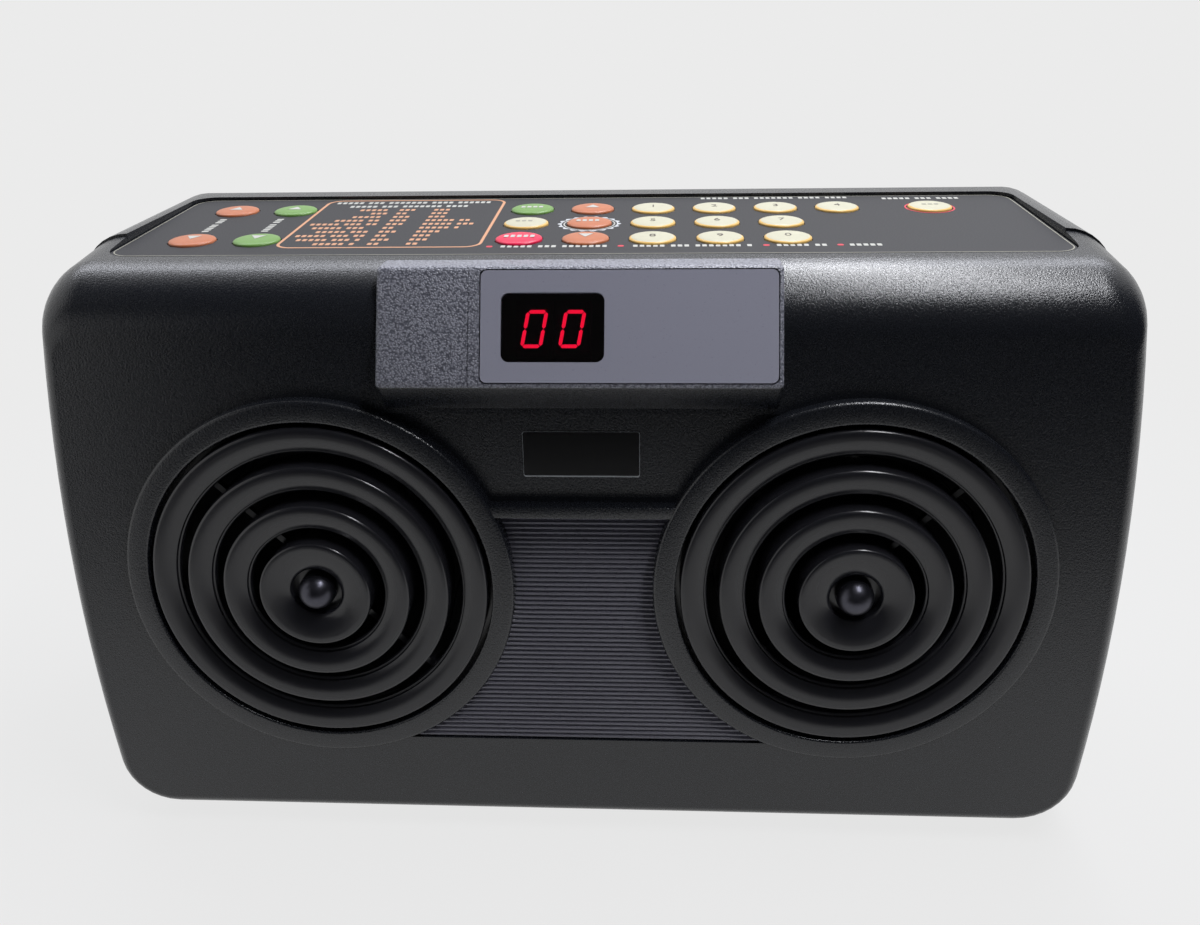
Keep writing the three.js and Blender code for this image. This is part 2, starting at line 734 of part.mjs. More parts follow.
// Louvre ring: a skirt with a shallow dished face turned in from its sharp front edge. Rings are
// counted inwards from the bezel.
function louvreProfile(ring) {
  const radius = louvreRadius(ring);
  const proud = ring * louvreStep;
  const face = radius - louvreFaceWidth;
  return [
    [radius, -proud],
    [radius, collarDepth],
    [radius - louvreWall, collarDepth],
    [radius - louvreWall, louvreFaceDrop + louvreLip - proud],
    [face, louvreFaceDrop + louvreLip - proud],
    [face, louvreFaceDrop - proud],
  ];
}

// The middle of the grille: a dished disc with a groove round a domed bolt head.
function dishProfile() {
  const groove = boltRadius + boltGroove;
  const profile = [
    [dishRadius, -dishProud],
    [dishRadius, collarDepth],
    [dishRadius - louvreWall, collarDepth],
    [dishRadius - louvreWall, dishBack],
    [0, dishBack],
  ];
  const domeBase = boltRadius - boltProud;
  profile.push([0, -boltProud]);
  for (let i = domeSteps - 1; i >= 0; i -= 1) {
    const angle = i / domeSteps * Math.PI / 2;
    profile.push([boltRadius * Math.cos(angle), domeBase - boltRadius * Math.sin(angle)]);
  }
  profile.push([boltRadius, -boltGroove]);
  profile.push([groove, -boltGroove]);
  profile.push([groove, dishDrop - dishProud]);
  return profile;
}

function speakerGrille() {
  const outerRadius = louvreRadius(0);
  const flangeFront = collarDepth + gap;
  const flange = turned([
    [outerRadius - louvreWall, collarDepth - overrun],
    [outerRadius, collarDepth - overrun],
    [outerRadius, flangeFront],
    [flangeRadius, flangeFront],
    [flangeRadius, flangeFront + flangeThickness],
    [outerRadius - louvreWall, flangeFront + flangeThickness],
  ]);
  let grille = join(solid(turned(dishProfile())), solid(flange));
  for (let ring = 0; ring < louvreCount; ring += 1) {
    grille = join(grille, solid(turned(louvreProfile(ring))));
  }
  for (let i = 0; i < webCount; i += 1) {
    const web = block([dishRadius - louvreWall / 2, outerRadius - louvreWall / 2],
      [collarDepth - webDepth, collarDepth], [-webWidth / 2, webWidth / 2]);
    grille = join(grille, solid(web.rotateY((i + 1 / 2) * 2 * Math.PI / webCount)));
  }
  return grille;
}

const frameFront = collarDepth + gap + flangeThickness + gap;
const basketBack = frameFront + basketDepth;
const magnetFront = basketBack + gap;
const magnetGapInner = coilRadius - coilSheet - 2 * gap;
const magnetGapOuter = coilRadius + 2 * gap;

function speakerFrame() {
  const lip = frameFront + frameLip;
  const basket = turned([
    [frameRadius, frameFront],
    [frameRadius, lip],
    [basketFrontRadius + frameSheet, lip],
    [basketRearRadius + frameSheet, basketBack],
    [magnetGapOuter + frameSheet, basketBack],
    [magnetGapOuter + frameSheet, basketBack - frameSheet],
    [basketRearRadius, basketBack - frameSheet],
    [basketFrontRadius, lip],
    [frameLandRadius, frameFront],
  ], driverSides);
  const window = block([-basketWindowWidth / 2, basketWindowWidth / 2],
    [lip + frameLip, basketBack - 2 * frameSheet], [-frameRadius, frameRadius]);
  return cut(solid(basket), solid(window), solid(window.clone().rotateY(Math.PI / 2)));
}

function speakerMagnet() {
  return turned([
    [0, magnetFront],
    [magnetGapInner, magnetFront],
    [magnetGapInner, magnetFront + magnetThickness - magnetFloor],
    [magnetGapOuter, magnetFront + magnetThickness - magnetFloor],
    [magnetGapOuter, magnetFront],
    [magnetRadius, magnetFront],
    [magnetRadius, magnetFront + magnetThickness],
    [0, magnetFront + magnetThickness],
  ], driverSides);
}

// Cone, dust cap and voice coil former, which move together.
const coneFront = frameFront + frameLip + gap;
function speakerCone() {
  const neck = coneFront + coneDepth;
  const coilEnd = magnetFront + magnetThickness - magnetFloor - coilEndClearance;
  return turned([
    [coneRadius, coneFront],
    [coneRadius, coneFront + coneSheet],
    [coilRadius, neck + coneSheet],
    [coilRadius, coilEnd],
    [coilRadius - coilSheet, coilEnd],
    [coilRadius - coilSheet, neck],
    [coilRadius / 2, neck - dustCapRise * 3 / 4 + coneSheet],
    [0, neck - dustCapRise + coneSheet],
    [0, neck - dustCapRise],
    [coilRadius / 2, neck - dustCapRise * 3 / 4],
    [coilRadius, neck - coneSheet],
  ], driverSides);
}

function speakerSurround() {
  const seat = frameFront - gap;
  const middle = (surroundOuterRadius + surroundInnerRadius) / 2;
  return turned([
    [surroundInnerRadius, coneFront],
    [surroundInnerRadius, coneFront - surroundSheet],
    [middle, seat - surroundRise],
    [surroundOuterRadius, seat - surroundSheet],
    [surroundOuterRadius, seat],
    [middle, seat + surroundSheet - surroundRise],
    [surroundInnerRadius + surroundSheet, coneFront],
  ], driverSides);
}

// Keys, by column and row. The left group is set from the panel's left edge, the middle one from
// its middle and the tuning key from its right edge.
const groupAcross = {
  left: leftKeyInset - panelWidth / 2,
  middle: 0,
  right: panelWidth / 2 - rightKeyInset,
};
const keys = [
  { name: 'level_up_key', group: 'left', column: 0, row: 2, colour: 'orange' },
  { name: 'level_down_key', group: 'left', column: 0, row: 0, colour: 'orange' },
  { name: 'pitch_up_key', group: 'left', column: 1, row: 2, colour: 'green' },
  { name: 'pitch_down_key', group: 'left', column: 1, row: 0, colour: 'green' },
  { name: 'play_key', group: 'middle', column: -1, row: 2, colour: 'green' },
  { name: 'memory_key', group: 'middle', column: -1, row: 1, colour: 'cream' },
  { name: 'stop_key', group: 'middle', column: -1, row: 0, colour: 'red' },
  { name: 'tempo_up_key', group: 'middle', column: 0, row: 2, colour: 'orange' },
  { name: 'select_key', group: 'middle', column: 0, row: 1, colour: 'orange' },
  { name: 'tempo_down_key', group: 'middle', column: 0, row: 0, colour: 'orange' },
  { name: 'number_1_key', group: 'middle', column: 1, row: 2, colour: 'cream' },
  { name: 'number_2_key', group: 'middle', column: 2, row: 2, colour: 'cream' },
  { name: 'number_3_key', group: 'middle', column: 3, row: 2, colour: 'cream' },
  { name: 'number_4_key', group: 'middle', column: 4, row: 2, colour: 'cream' },
  { name: 'number_5_key', group: 'middle', column: 1, row: 1, colour: 'cream' },
  { name: 'number_6_key', group: 'middle', column: 2, row: 1, colour: 'cream' },
  { name: 'number_7_key', group: 'middle', column: 3, row: 1, colour: 'cream' },
  { name: 'number_8_key', group: 'middle', column: 1, row: 0, colour: 'cream' },
  { name: 'number_9_key', group: 'middle', column: 2, row: 0, colour: 'cream' },
  { name: 'number_0_key', group: 'middle', column: 3, row: 0, colour: 'cream' },
  { name: 'tuning_key', group: 'right', column: 0, row: 2, colour: 'cream' },
];
const keyX = (key) => groupAcross[key.group] + key.column * keyPitchAcross;
const keyY = (key) => firstKeyRow + key.row * keyPitchBack;

const keypadBoardTop = panelHeight - keypadBoardDrop;
const keySeat = keypadBoardTop + switchHeight + gap + keyTravel;

function keyPiece() {
  const top = panelHeight + keyProud;
  return stood([
    [0, keySeat],
    [keyStemRadius, keySeat],
    [keyRadius, panelHeight - keySkirt],
    [keyRadius, panelHeight + keyProud / 3],
    [keyRadius - keyEdge, top],
    [0, top],
  ], keySides);
}

// Posts stand on the key grid where no key is.
const panelPosts = [
  { group: 'left', column: 0, row: 1 },
  { group: 'middle', column: -3, row: 0 },
  { group: 'middle', column: -3, row: 2 },
  { group: 'middle', column: 5, row: 0 },
  { group: 'right', column: 1 / 2, row: 1 },
];

function keyPanel() {
  const middle = panelTop - panelThickness / 2;
  const posts = panelPosts.map((spot) => (
    solid(post(panelPostRadius, keyX(spot), keyY(spot), keypadBoardTop + gap, middle))));
  const reach = keyRadius + gap;
  const holes = keys.map((key) => solid(block(
    [keyX(key) - reach, keyX(key) + reach],
    [keyY(key) - reach, keyY(key) + reach],
    [panelUnderside - overrun, panelTop + overrun])));
  return cut(join(solid(plate(panelOutline(0), panelUnderside, panelTop)), ...posts), ...holes);
}

// The film's holes have the keys' facets, so that the gap is the same all round.
function panelOverlay() {
  const outline = panelOutline(0);
  const radius = keyRadius + gap / Math.cos(Math.PI / keySides);
  for (const key of keys) {
    const hole = [];
    for (let i = 0; i < keySides; i += 1) {
      const angle = Math.PI * 2 * i / keySides;
      hole.push(new THREE.Vector2(radius * Math.sin(angle), radius * Math.cos(angle))
        .add(new THREE.Vector2(keyX(key), keyY(key))));
    }
    outline.holes.push(new THREE.Path(hole));
  }
  return plate(outline, panelHeight - overlayThickness, panelHeight);
}

function keypadBoard() {
  const board = block(
    [keypadBoardMargin - panelWidth / 2, panelWidth / 2 - keypadBoardMargin],
    [panelFront + keypadBoardMargin, panelBack - keypadBoardMargin],
    [keypadBoardTop - boardThickness, keypadBoardTop]);
  const switches = keys.map((key) => solid(block(
    [keyX(key) - switchSize / 2, keyX(key) + switchSize / 2],
    [keyY(key) - switchSize / 2, keyY(key) + switchSize / 2],
    [keypadBoardTop - boardThickness / 2, keypadBoardTop + switchHeight])));
  return join(solid(board), ...switches);
}

function mainBoard() {
  const board = block([-mainBoardWidth / 2, mainBoardWidth / 2], [mainBoardFront, mainBoardBack],
    [mainBoardFoot, mainBoardFoot + mainBoardHeight]);
  // Chips, as shares of the board across and up: middle, middle, width, height.
  const chipShares = [
    [-0.25, 0.3, 0.26, 0.22],
    [0.12, 0.3, 0.16, 0.26],
    [-0.25, 0.7, 0.2, 0.18],
    [0.3, 0.68, 0.14, 0.3],
  ];
  const chips = chipShares.map(([across, up, width, tall]) => solid(block(
    [(across - width / 2) * mainBoardWidth, (across + width / 2) * mainBoardWidth],
    [mainBoardFront - chipThickness, mainBoardFront + boardThickness / 2],
    [mainBoardFoot + (up - tall / 2) * mainBoardHeight, mainBoardFoot + (up + tall / 2) * mainBoardHeight])));
  return join(solid(board), ...chips);
}

// A laminated core with its winding through the middle, and two tabs that screw to the floor.
function powerTransformer() {
  const floor = transformerFloor;
  const middle = transformerFront + transformerDepth / 2;
  const [left, right] = [transformerAcross - transformerWidth / 2, transformerAcross + transformerWidth / 2];
  const core = block([left, right], [middle - coreThickness / 2, middle + coreThickness / 2],
    [floor, floor + transformerHeight]);
  const winding = block([left + windingInset, right - windingInset],
    [transformerFront, transformerFront + transformerDepth],
    [floor + windingInset, floor + transformerHeight - windingInset]);
  const tabs = block([left - tabReach, right + tabReach],
    [middle - coreThickness / 2, middle + coreThickness / 2], [floor, floor + tabThickness]);
  return join(solid(core), solid(winding), solid(tabs));
}

// Parts on the rear wall are drawn at their own middle and set on the wall's outside.
function mainsInlet() {
  const face = inletFlangeThickness + gap;
  const flange = block([-inletWidth / 2 - inletFlange, inletWidth / 2 + inletFlange], [gap, face],
    [-inletTall / 2 - inletFlange, inletTall / 2 + inletFlange]);
  const body = block([-inletWidth / 2, inletWidth / 2], [-inletLength, face],
    [-inletTall / 2, inletTall / 2]);
  const well = slab(roundedRectangle(-inletWellWidth / 2, inletWellWidth / 2, -inletWellTall / 2,
    inletWellTall / 2, inletWellTall * inletRoundShare), face - inletWellDepth, face + overrun);
  const pins = [-1, 1].map((side) => solid(rod(inletPinRadius, side * inletPinSpacing / 2, 0,
    face - inletWellDepth - overrun, face - inletWellDepth + inletPinLength, keySides / 2)));
  return join(cut(join(solid(flange), solid(body)), solid(well)), ...pins);
}

function lineSocket() {
  const face = gap + socketNutThickness;
  const nut = turned([[0, gap], [socketNutRadius, gap], [socketNutRadius, face], [0, face]], nutSides);
  const thread = rod(socketBodyRadius, 0, 0, -socketThreadLength, gap + overrun, keySides);
  const back = block([-socketBackWidth / 2, socketBackWidth / 2], [-socketLength, -socketThreadLength],
    [-socketBackWidth / 2, socketBackWidth / 2]);
  const bore = rod(socketBore, 0, 0, -socketLength + wall, face + overrun, keySides);
  return cut(join(solid(nut), solid(thread), solid(back)), solid(bore));
}

function switchBody() {
  const face = switchFlange + gap;
  const flange = block([-switchWidth / 2 - switchRim, switchWidth / 2 + switchRim], [gap, face],
    [-switchTall / 2 - switchRim, switchTall / 2 + switchRim]);
  const body = block([-switchWidth / 2, switchWidth / 2], [-switchLength, face],
    [-switchTall / 2, switchTall / 2]);
  const well = block([switchRim - switchWidth / 2, switchWidth / 2 - switchRim],
    [face - switchWellDepth, face + overrun], [switchRim - switchTall / 2, switchTall / 2 - switchRim]);
  return cut(join(solid(flange), solid(body)), solid(well));
}

// The rocker turns on a line across its middle. Its face is two flats that meet over that line.
function switchRocker() {
  const halfTall = switchTall / 2 - switchRim - 2 * gap;
  const tip = Math.tan(rockerTilt) * halfTall;
  const profile = [
    [rockerProud, 0],
    [rockerProud + tip, halfTall],
    [0, halfTall + gap / 2],
    [-rockerDepth / 2, halfTall * rockerBellyShare],
    [-rockerDepth, 0],
    [-rockerDepth / 2, -halfTall * rockerBellyShare],
    [0, -halfTall - gap / 2],
    [rockerProud + tip, -halfTall],
  ];
  const halfWide = switchWidth / 2 - switchRim - gap;
  return profileAcross(profile, -halfWide, halfWide).rotateX(rockerTilt);
}

function foot() {
  return stood([
    [0, 0],
    [footRadius - footTaper, 0],
    [footRadius, footHeight - gap],
    [footStubRadius, footHeight - gap],
    [footStubRadius, footHeight + wall],
    [0, footHeight + wall],
  ]);
}

// The assembly.
const model = new THREE.Group();

function add(parent, name, shape, material, position = [0, 0, 0]) {
  const geometry = geometryOf(shape instanceof THREE.BufferGeometry ? solid(shape) : shape);
  const mesh = new THREE.Mesh(geometry, material);
  mesh.name = name;
  mesh.position.set(...position);
  parent.add(mesh);
  return mesh;
}

add(model, 'front_shell', frontShell(), grainedPlastic);
add(model, 'rear_shell', rearShell(), grainedPlastic);

add(model, 'key_panel', keyPanel(), smoothPlastic);
add(model, 'panel_overlay', panelOverlay(), overlayFilm);
add(model, 'keypad_board', keypadBoard(), circuitBoard);
for (const key of keys) {
  add(model, key.name, keyPiece(), keyFinishes[key.colour], [keyX(key), keyY(key), 0]);
}

const display = new THREE.Group();
display.position.set(0, displayFootDepth, speakerHeight + displayFootRise);
display.rotation.x = -displayLean;
model.add(display);
const labelShape = labelOutline(0);
labelShape.holes.push(windowOutline(0));
add(display, 'display_label', slab(labelShape, 0, labelThickness), labelFilm);
const windowPane = slab(windowOutline(windowLap), labelSeat, labelSeat + windowThickness);
add(display, 'display_window', windowPane, smokedAcrylic);
for (const [side, sign] of Object.entries(speakerSides)) {
  const middle = windowAcross + sign * (digitWidth + gap) / 2;
  add(display, `display_digit_${side}`, block([middle - digitWidth / 2, middle + digitWidth / 2],
    [digitFront, digitFront + digitDepth],
    [windowMiddle - digitHeight / 2, windowMiddle + digitHeight / 2]), digitPlastic);
}
add(display, 'display_board', block(
  [windowAcross - displayBoardWidth / 2, windowAcross + displayBoardWidth / 2],
  [displayBoardFront, displayBoardFront + boardThickness],
  [windowMiddle - displayBoardHeight / 2, windowMiddle + displayBoardHeight / 2]), circuitBoard);

const speakers = new THREE.Group();
speakers.position.z = speakerHeight;
speakers.rotation.x = -grilleLean;
model.add(speakers);
for (const [side, sign] of Object.entries(speakerSides)) {
  const place = [sign * speakerSpacing / 2, 0, 0];
  add(speakers, `speaker_grille_${side}`, speakerGrille(), smoothPlastic, place);
  add(speakers, `speaker_frame_${side}`, speakerFrame(), pressedSteel, place);
  add(speakers, `speaker_magnet_${side}`, speakerMagnet(), ferrite, place);
  add(speakers, `speaker_cone_${side}`, speakerCone(), conePaper, place);
  add(speakers, `speaker_surround_${side}`, speakerSurround(), foam, place);
}

add(model, 'main_board', mainBoard(), boardBrown);
add(model, 'power_transformer', powerTransformer(), coreSteel);
add(model, 'mains_inlet', mainsInlet(), smoothPlastic, [inletAcross, backDepth, socketHeight]);
add(model, 'power_switch_body', switchBody(), smoothPlastic, [switchAcross, backDepth, socketHeight]);
add(model, 'power_switch_rocker', switchRocker(), smoothPlastic, [switchAcross, backDepth, socketHeight]);
for (const [side, sign] of Object.entries(speakerSides)) {
  add(model, `line_socket_${side}`, lineSocket(), zincSteel,
    [socketsAcross + sign * socketSpacing / 2, backDepth, socketHeight]);
}
for (const { name, x, z } of bosses) {
  add(model, `housing_screw_${name}`, housingScrew(), zincSteel, [x, 0, z]);
}
for (const [side, sign] of Object.entries(speakerSides)) {
  add(model, `front_foot_${side}`, foot(), rubber, [sign * footSpacing / 2, frontFootDepth, 0]);
  add(model, `rear_foot_${side}`, foot(), rubber, [sign * footSpacing / 2, rearFootDepth, 0]);
}

// The working zero is the grilles' plane. The finished part stands with its box centred on its origin.
const box = new THREE.Box3().setFromObject(model, true);
model.position.y = -(box.min.y + box.max.y) / 2;

export default model;
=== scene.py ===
# %% [markdown]
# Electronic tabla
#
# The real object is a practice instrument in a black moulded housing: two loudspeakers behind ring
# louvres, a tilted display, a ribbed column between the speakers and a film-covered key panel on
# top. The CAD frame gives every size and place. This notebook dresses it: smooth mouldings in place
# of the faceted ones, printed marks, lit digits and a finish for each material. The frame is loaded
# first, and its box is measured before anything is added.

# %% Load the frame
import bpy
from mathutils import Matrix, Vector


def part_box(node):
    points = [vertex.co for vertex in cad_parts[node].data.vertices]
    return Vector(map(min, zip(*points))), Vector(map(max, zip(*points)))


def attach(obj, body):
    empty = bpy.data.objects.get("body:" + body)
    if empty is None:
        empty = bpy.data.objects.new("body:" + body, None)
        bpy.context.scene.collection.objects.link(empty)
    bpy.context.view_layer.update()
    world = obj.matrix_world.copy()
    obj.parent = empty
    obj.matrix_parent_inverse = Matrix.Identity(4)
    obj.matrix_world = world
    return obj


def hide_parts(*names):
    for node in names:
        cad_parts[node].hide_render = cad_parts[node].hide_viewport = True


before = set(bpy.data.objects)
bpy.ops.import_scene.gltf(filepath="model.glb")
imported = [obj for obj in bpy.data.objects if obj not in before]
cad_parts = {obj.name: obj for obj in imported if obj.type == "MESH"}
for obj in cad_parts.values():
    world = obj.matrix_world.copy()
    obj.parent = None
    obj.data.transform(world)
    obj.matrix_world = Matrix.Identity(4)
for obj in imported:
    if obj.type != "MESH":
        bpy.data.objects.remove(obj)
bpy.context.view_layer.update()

import math

import bpy
from mathutils import Matrix, Vector

# %% [markdown]
# Shared sizes
#
# The sizes that several pieces share are written once, in millimetres, and turned to metres where
# they are used. They could be read off the CAD meshes, but named sizes show how the mouldings depend
# on each other. The frame's depth zero is the middle of the object, so the plane of the speaker
# grilles is found from the rear wall, which stands 103.3 mm behind it.

# %% Shared sizes
MM = 0.001
SIDES = {"left": -1, "right": 1}
REAR_DEPTH = 103.3
GRILLE_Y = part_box("rear_shell")[1][1] - REAR_DEPTH * MM
SPEAKER_HEIGHT = 77.4
SPEAKER_X = 69.1
GRILLE_LEAN = math.radians(4.25)
PANEL_HEIGHT = 158.4
FOOT_HEIGHT = 3
SEAM_DEPTH = 41
WALL = 3
GAP = 0.3
print("grille plane at y", round(GRILLE_Y, 5))

# %% [markdown]
# The camera
#
# The photograph looks down on the front from a little to the right, so the housing narrows towards
# the bottom and the key panel on top is foreshortened. A camera could be aimed by eye. Its place,
# turns and lens were fitted instead to the speaker rings, the key grid and the housing's edges, so
# that the render can be laid over the photograph. Its three axes are worked out from its turns.

# %% Camera
CAMERA_PLACE = (18.81, -234.1, 227.82)
CAMERA_PITCH = math.radians(25.909)
CAMERA_YAW = math.radians(-3.374)
CAMERA_ROLL = math.radians(-1.169)
FOCAL_PIXELS = 1071.2
PHOTO_WIDTH = 1200
SENSOR_WIDTH = 36

look = Vector((math.sin(CAMERA_YAW) * math.cos(CAMERA_PITCH),
               math.cos(CAMERA_YAW) * math.cos(CAMERA_PITCH),
               -math.sin(CAMERA_PITCH)))
level = Vector((math.cos(CAMERA_YAW), -math.sin(CAMERA_YAW), 0))
right = math.cos(CAMERA_ROLL) * level + math.sin(CAMERA_ROLL) * level.cross(look)
up = right.cross(look)
lens_data = bpy.data.cameras.new("camera")
lens_data.sensor_width = SENSOR_WIDTH
lens_data.lens = SENSOR_WIDTH * FOCAL_PIXELS / PHOTO_WIDTH
lens_data.clip_start = 10 * MM
camera = bpy.data.objects.new("camera", lens_data)
bpy.context.scene.collection.objects.link(camera)
place = Vector(CAMERA_PLACE) * MM + Vector((0, GRILLE_Y, 0))
camera.matrix_world = Matrix.Translation(place) @ Matrix((right, up, -look)).transposed().to_4x4()
bpy.context.scene.camera = camera
print("lens", round(lens_data.lens, 2), "mm")

# %% [markdown]
# Colours and nodes
#
# A finish is a few lines: what the surface is made of, how rough it is, and a pattern whose scale
# comes from the real grain. Nodes could be wired one by one in the shader editor. Here one function
# turns a hex colour into Blender's linear colour, one adds a node with its settings and links, and
# one starts a material from its plain values, so that each finish below reads as a recipe.

# %% Colour and node helpers
def linear(hex_colour):
    channels = [int(hex_colour[i:i + 2], 16) / 255 for i in (1, 3, 5)]
    return [c / 12.92 if c <= 0.04045 else ((c + 0.055) / 1.055) ** 2.4 for c in channels] + [1]


def add_node(tree, kind, inputs=None, **settings):
    made = tree.nodes.new(kind)
    for name, value in settings.items():
        setattr(made, name, value)
    for name, value in (inputs or {}).items():
        if isinstance(value, bpy.types.NodeSocket):
            tree.links.new(value, made.inputs[name])
        else:
            made.inputs[name].default_value = value
    return made


def new_material(name, base, roughness, metallic=0.0, ior=1.5, **sockets):
    """A material with its plain values set. A metal keeps the shader's own IOR."""
    material = bpy.data.materials.new(name)
    material.use_nodes = True
    shader = material.node_tree.nodes["Principled BSDF"]
    shader.inputs["Base Color"].default_value = linear(base)
    shader.inputs["Roughness"].default_value = roughness
    shader.inputs["Metallic"].default_value = metallic
    if not metallic:
        shader.inputs["IOR"].default_value = ior
    for socket, value in sockets.items():
        shader.inputs[socket.replace("_", " ")].default_value = value
    return material, shader, material.node_tree


print("a mid grey in linear light", round(linear("#808080")[0], 3))

# %% [markdown]
# Grain
#
# A moulded surface takes the texture that was etched into the steel mould, and even a polished or
# plated one is a little uneven. The grain could be modelled, but it is finer than any mesh, so it is
# a bump on Object coordinates, which gives it the same size on every piece. The same noise moves the
# roughness a little, as the flow of the melt does, so that broad highlights aren't perfectly even.

# %% Grained finishes
GRAIN_DETAIL = 3.0
NOISE_LOW, NOISE_HIGH = 0.3, 0.7


def grained(name, base, roughness, grain_mm, height_mm, spread=0.06, **sockets):
    """A finish with a grain of one size, whose roughness varies by spread to either side."""
    material, shader, tree = new_material(name, base, roughness, **sockets)
    place_node = add_node(tree, "ShaderNodeTexCoord")
    noise = add_node(tree, "ShaderNodeTexNoise",
                     {"Vector": place_node.outputs["Object"], "Scale": 1 / (grain_mm * MM),
                      "Detail": GRAIN_DETAIL})
    bump = add_node(tree, "ShaderNodeBump",
                    {"Height": noise.outputs["Fac"], "Strength": 1.0, "Distance": height_mm * MM})
    tree.links.new(bump.outputs["Normal"], shader.inputs["Normal"])
    if spread:
        varied = add_node(tree, "ShaderNodeMapRange",
                          {"Value": noise.outputs["Fac"], "From Min": NOISE_LOW,
                           "From Max": NOISE_HIGH, "To Min": roughness - spread,
                           "To Max": roughness + spread})
        tree.links.new(varied.outputs["Result"], shader.inputs["Roughness"])
    return material


# A spark-eroded mould leaves pits of about 0.1 mm, which break a highlight into fine points and keep
# the housing from looking polished. They are too fine to show, so they are drawn 0.42 mm wide.
fine_grain_abs = grained("abs_fine_spark_grain", "#191b20", 0.26, 0.42, 0.085, ior=1.54)

# A polished mould leaves only faint flow marks, so the louvres' lips carry clear, soft highlights.
satin_abs = grained("abs_satin", "#202024", 0.22, 0.8, 0.003, 0.03)

# The ribs turn many narrow faces to the light, so the same black plastic is given a greyer colour here,
# as a painted sheen.
rib_painted_sheen_abs = grained("abs_ribbed_painted_sheen", "#65646e", 0.3, 0.8, 0.006, 0.04)
print("plastics", fine_grain_abs.name, satin_abs.name, rib_painted_sheen_abs.name)

# %% [markdown]
# The leather grain
#
# The display housing is black plastic with a coarse leather grain: rounded pebbles about half a
# millimetre wide, with shaded valleys between them. It could be sculpted, but the display housing would
# need millions of faces. A pattern of smooth cells looks like it, only too regular, so a noise pushes
# its coordinates about first. The bump is inverted, because the cells' distance is least in their
# middles. The same distance paints shade into the valleys and a pale sheen onto the pebbles, so that
# the black plastic is drawn as light as its glints make it look.

# %% Leather grain
PEBBLE = 0.47
PEBBLE_HEIGHT = 0.24
WANDER_SIZE = 0.6
WANDER_REACH = 0.5

# The pale base colours of this material are a painted sheen on black plastic.
leather_painted_sheen_abs, shader, tree = new_material("abs_leather_grain_painted_sheen", "#4a4b53", 0.36)
place_node = add_node(tree, "ShaderNodeTexCoord")
wobble = add_node(tree, "ShaderNodeTexNoise",
                  {"Vector": place_node.outputs["Object"], "Scale": 1 / (WANDER_SIZE * MM),
                   "Detail": 2.0})
wander = add_node(tree, "ShaderNodeVectorMath",
                  {0: wobble.outputs["Color"], 1: [WANDER_REACH * MM] * 3}, operation="MULTIPLY")
moved = add_node(tree, "ShaderNodeVectorMath",
                 {0: place_node.outputs["Object"], 1: wander.outputs[0]}, operation="ADD")
cells = add_node(tree, "ShaderNodeTexVoronoi",
                 {"Vector": moved.outputs[0], "Scale": 1 / (PEBBLE * MM)}, feature="SMOOTH_F1")
bump = add_node(tree, "ShaderNodeBump",
                {"Height": cells.outputs["Distance"], "Strength": 1.0,
                 "Distance": PEBBLE_HEIGHT * MM}, invert=True)
tree.links.new(bump.outputs["Normal"], shader.inputs["Normal"])
# Painted shade in the valleys and a painted pale sheen on the pebbles.
valleys = add_node(tree, "ShaderNodeValToRGB", {"Fac": cells.outputs["Distance"]})
for stop, position, colour in zip(valleys.color_ramp.elements, (0.25, 0.6), ("#94959f", "#575862")):
    stop.position = position
    stop.color = linear(colour)
tree.links.new(valleys.outputs["Color"], shader.inputs["Base Color"])
print("leather grain", PEBBLE, "mm wide")

# %% [markdown]
# Films, inks and keys
#
# The key panel is covered by a matt film, printed from behind, and the display by a satin label. The
# inks could be an image on the film, but here each printed mark is a thin piece of its own, so its
# edges stay sharp at any distance. The keys are glossy plastic. Film and print have a texture of a
# few hundredths of a millimetre, which is drawn several times coarser so that it shows at all.

# %% Films, inks and keys
# Fine matting scatters the highlight, so the film stays an even charcoal beside the black housing.
panel_film = grained("polycarbonate_matt_film", "#27272a", 0.6, 0.4, 0.008, 0.05,
                     Specular_IOR_Level=0.25)

# The label is smoother than the pebbled plastic round it and takes one broad, soft reflection.
label_film = grained("label_satin_film", "#9898a6", 0.3, 0.5, 0.004, 0.03)


def ink(name, colour, roughness=0.5):
    """Screen ink has a slight orange peel, drawn at 0.25 mm, that takes the shine off a mark."""
    return grained(name, colour, roughness, 0.25, 0.004)


copper_ink = ink("ink_copper", "#c08a66")
white_ink = ink("ink_white", "#b0b0aa")
red_ink = ink("ink_red", "#c02038")
silver_ink = ink("ink_silver", "#b9bcc0", 0.35)
dark_ink = ink("ink_dark", "#3a2e28")
grey_ink = ink("ink_grey", "#8f8d80")
badge_ink = ink("ink_gloss_black", "#08080a", 0.2)


def key_plastic(name, colour):
    """A polished cap: its faint waves, 0.9 mm long, bend the edge of a highlight a little."""
    return grained(name, colour, 0.35, 0.9, 0.004, 0, ior=1.46, Specular_IOR_Level=0.3)


key_finishes = {
    "orange": key_plastic("key_orange_gloss", "#b26a48"),
    "green": key_plastic("key_green_gloss", "#688f48"),
    "red": key_plastic("key_red_gloss", "#d81c48"),
    "cream": key_plastic("key_cream_gloss", "#bab7a1"),
}
amber_edge = key_plastic("key_amber_edge", "#d8b064")
print("keys", list(key_finishes))

# %% [markdown]
# Metals, rubber and the pieces inside
#
# These show through the louvres, the vents and the rear openings. Each could have a texture of its
# own kind, but they show so small that one noise with the right scale, height and roughness tells
# them apart: plating is smooth, pressed steel is faintly mottled, ferrite is sintered and dull.

# %% Metals and inner finishes
# Nickel plate is nearly a mirror, with slight ripples from turning.
nickel = grained("nickel_plated_brass", "#c9c6c0", 0.22, 2.0, 0.002, 0.05, metallic=1.0)
# Zinc plate has blotches of some millimetres, where the bath wetted the steel unevenly.
pressed_steel = grained("zinc_plated_steel", "#9ea1a4", 0.36, 3.0, 0.01, 0.08, metallic=1.0)
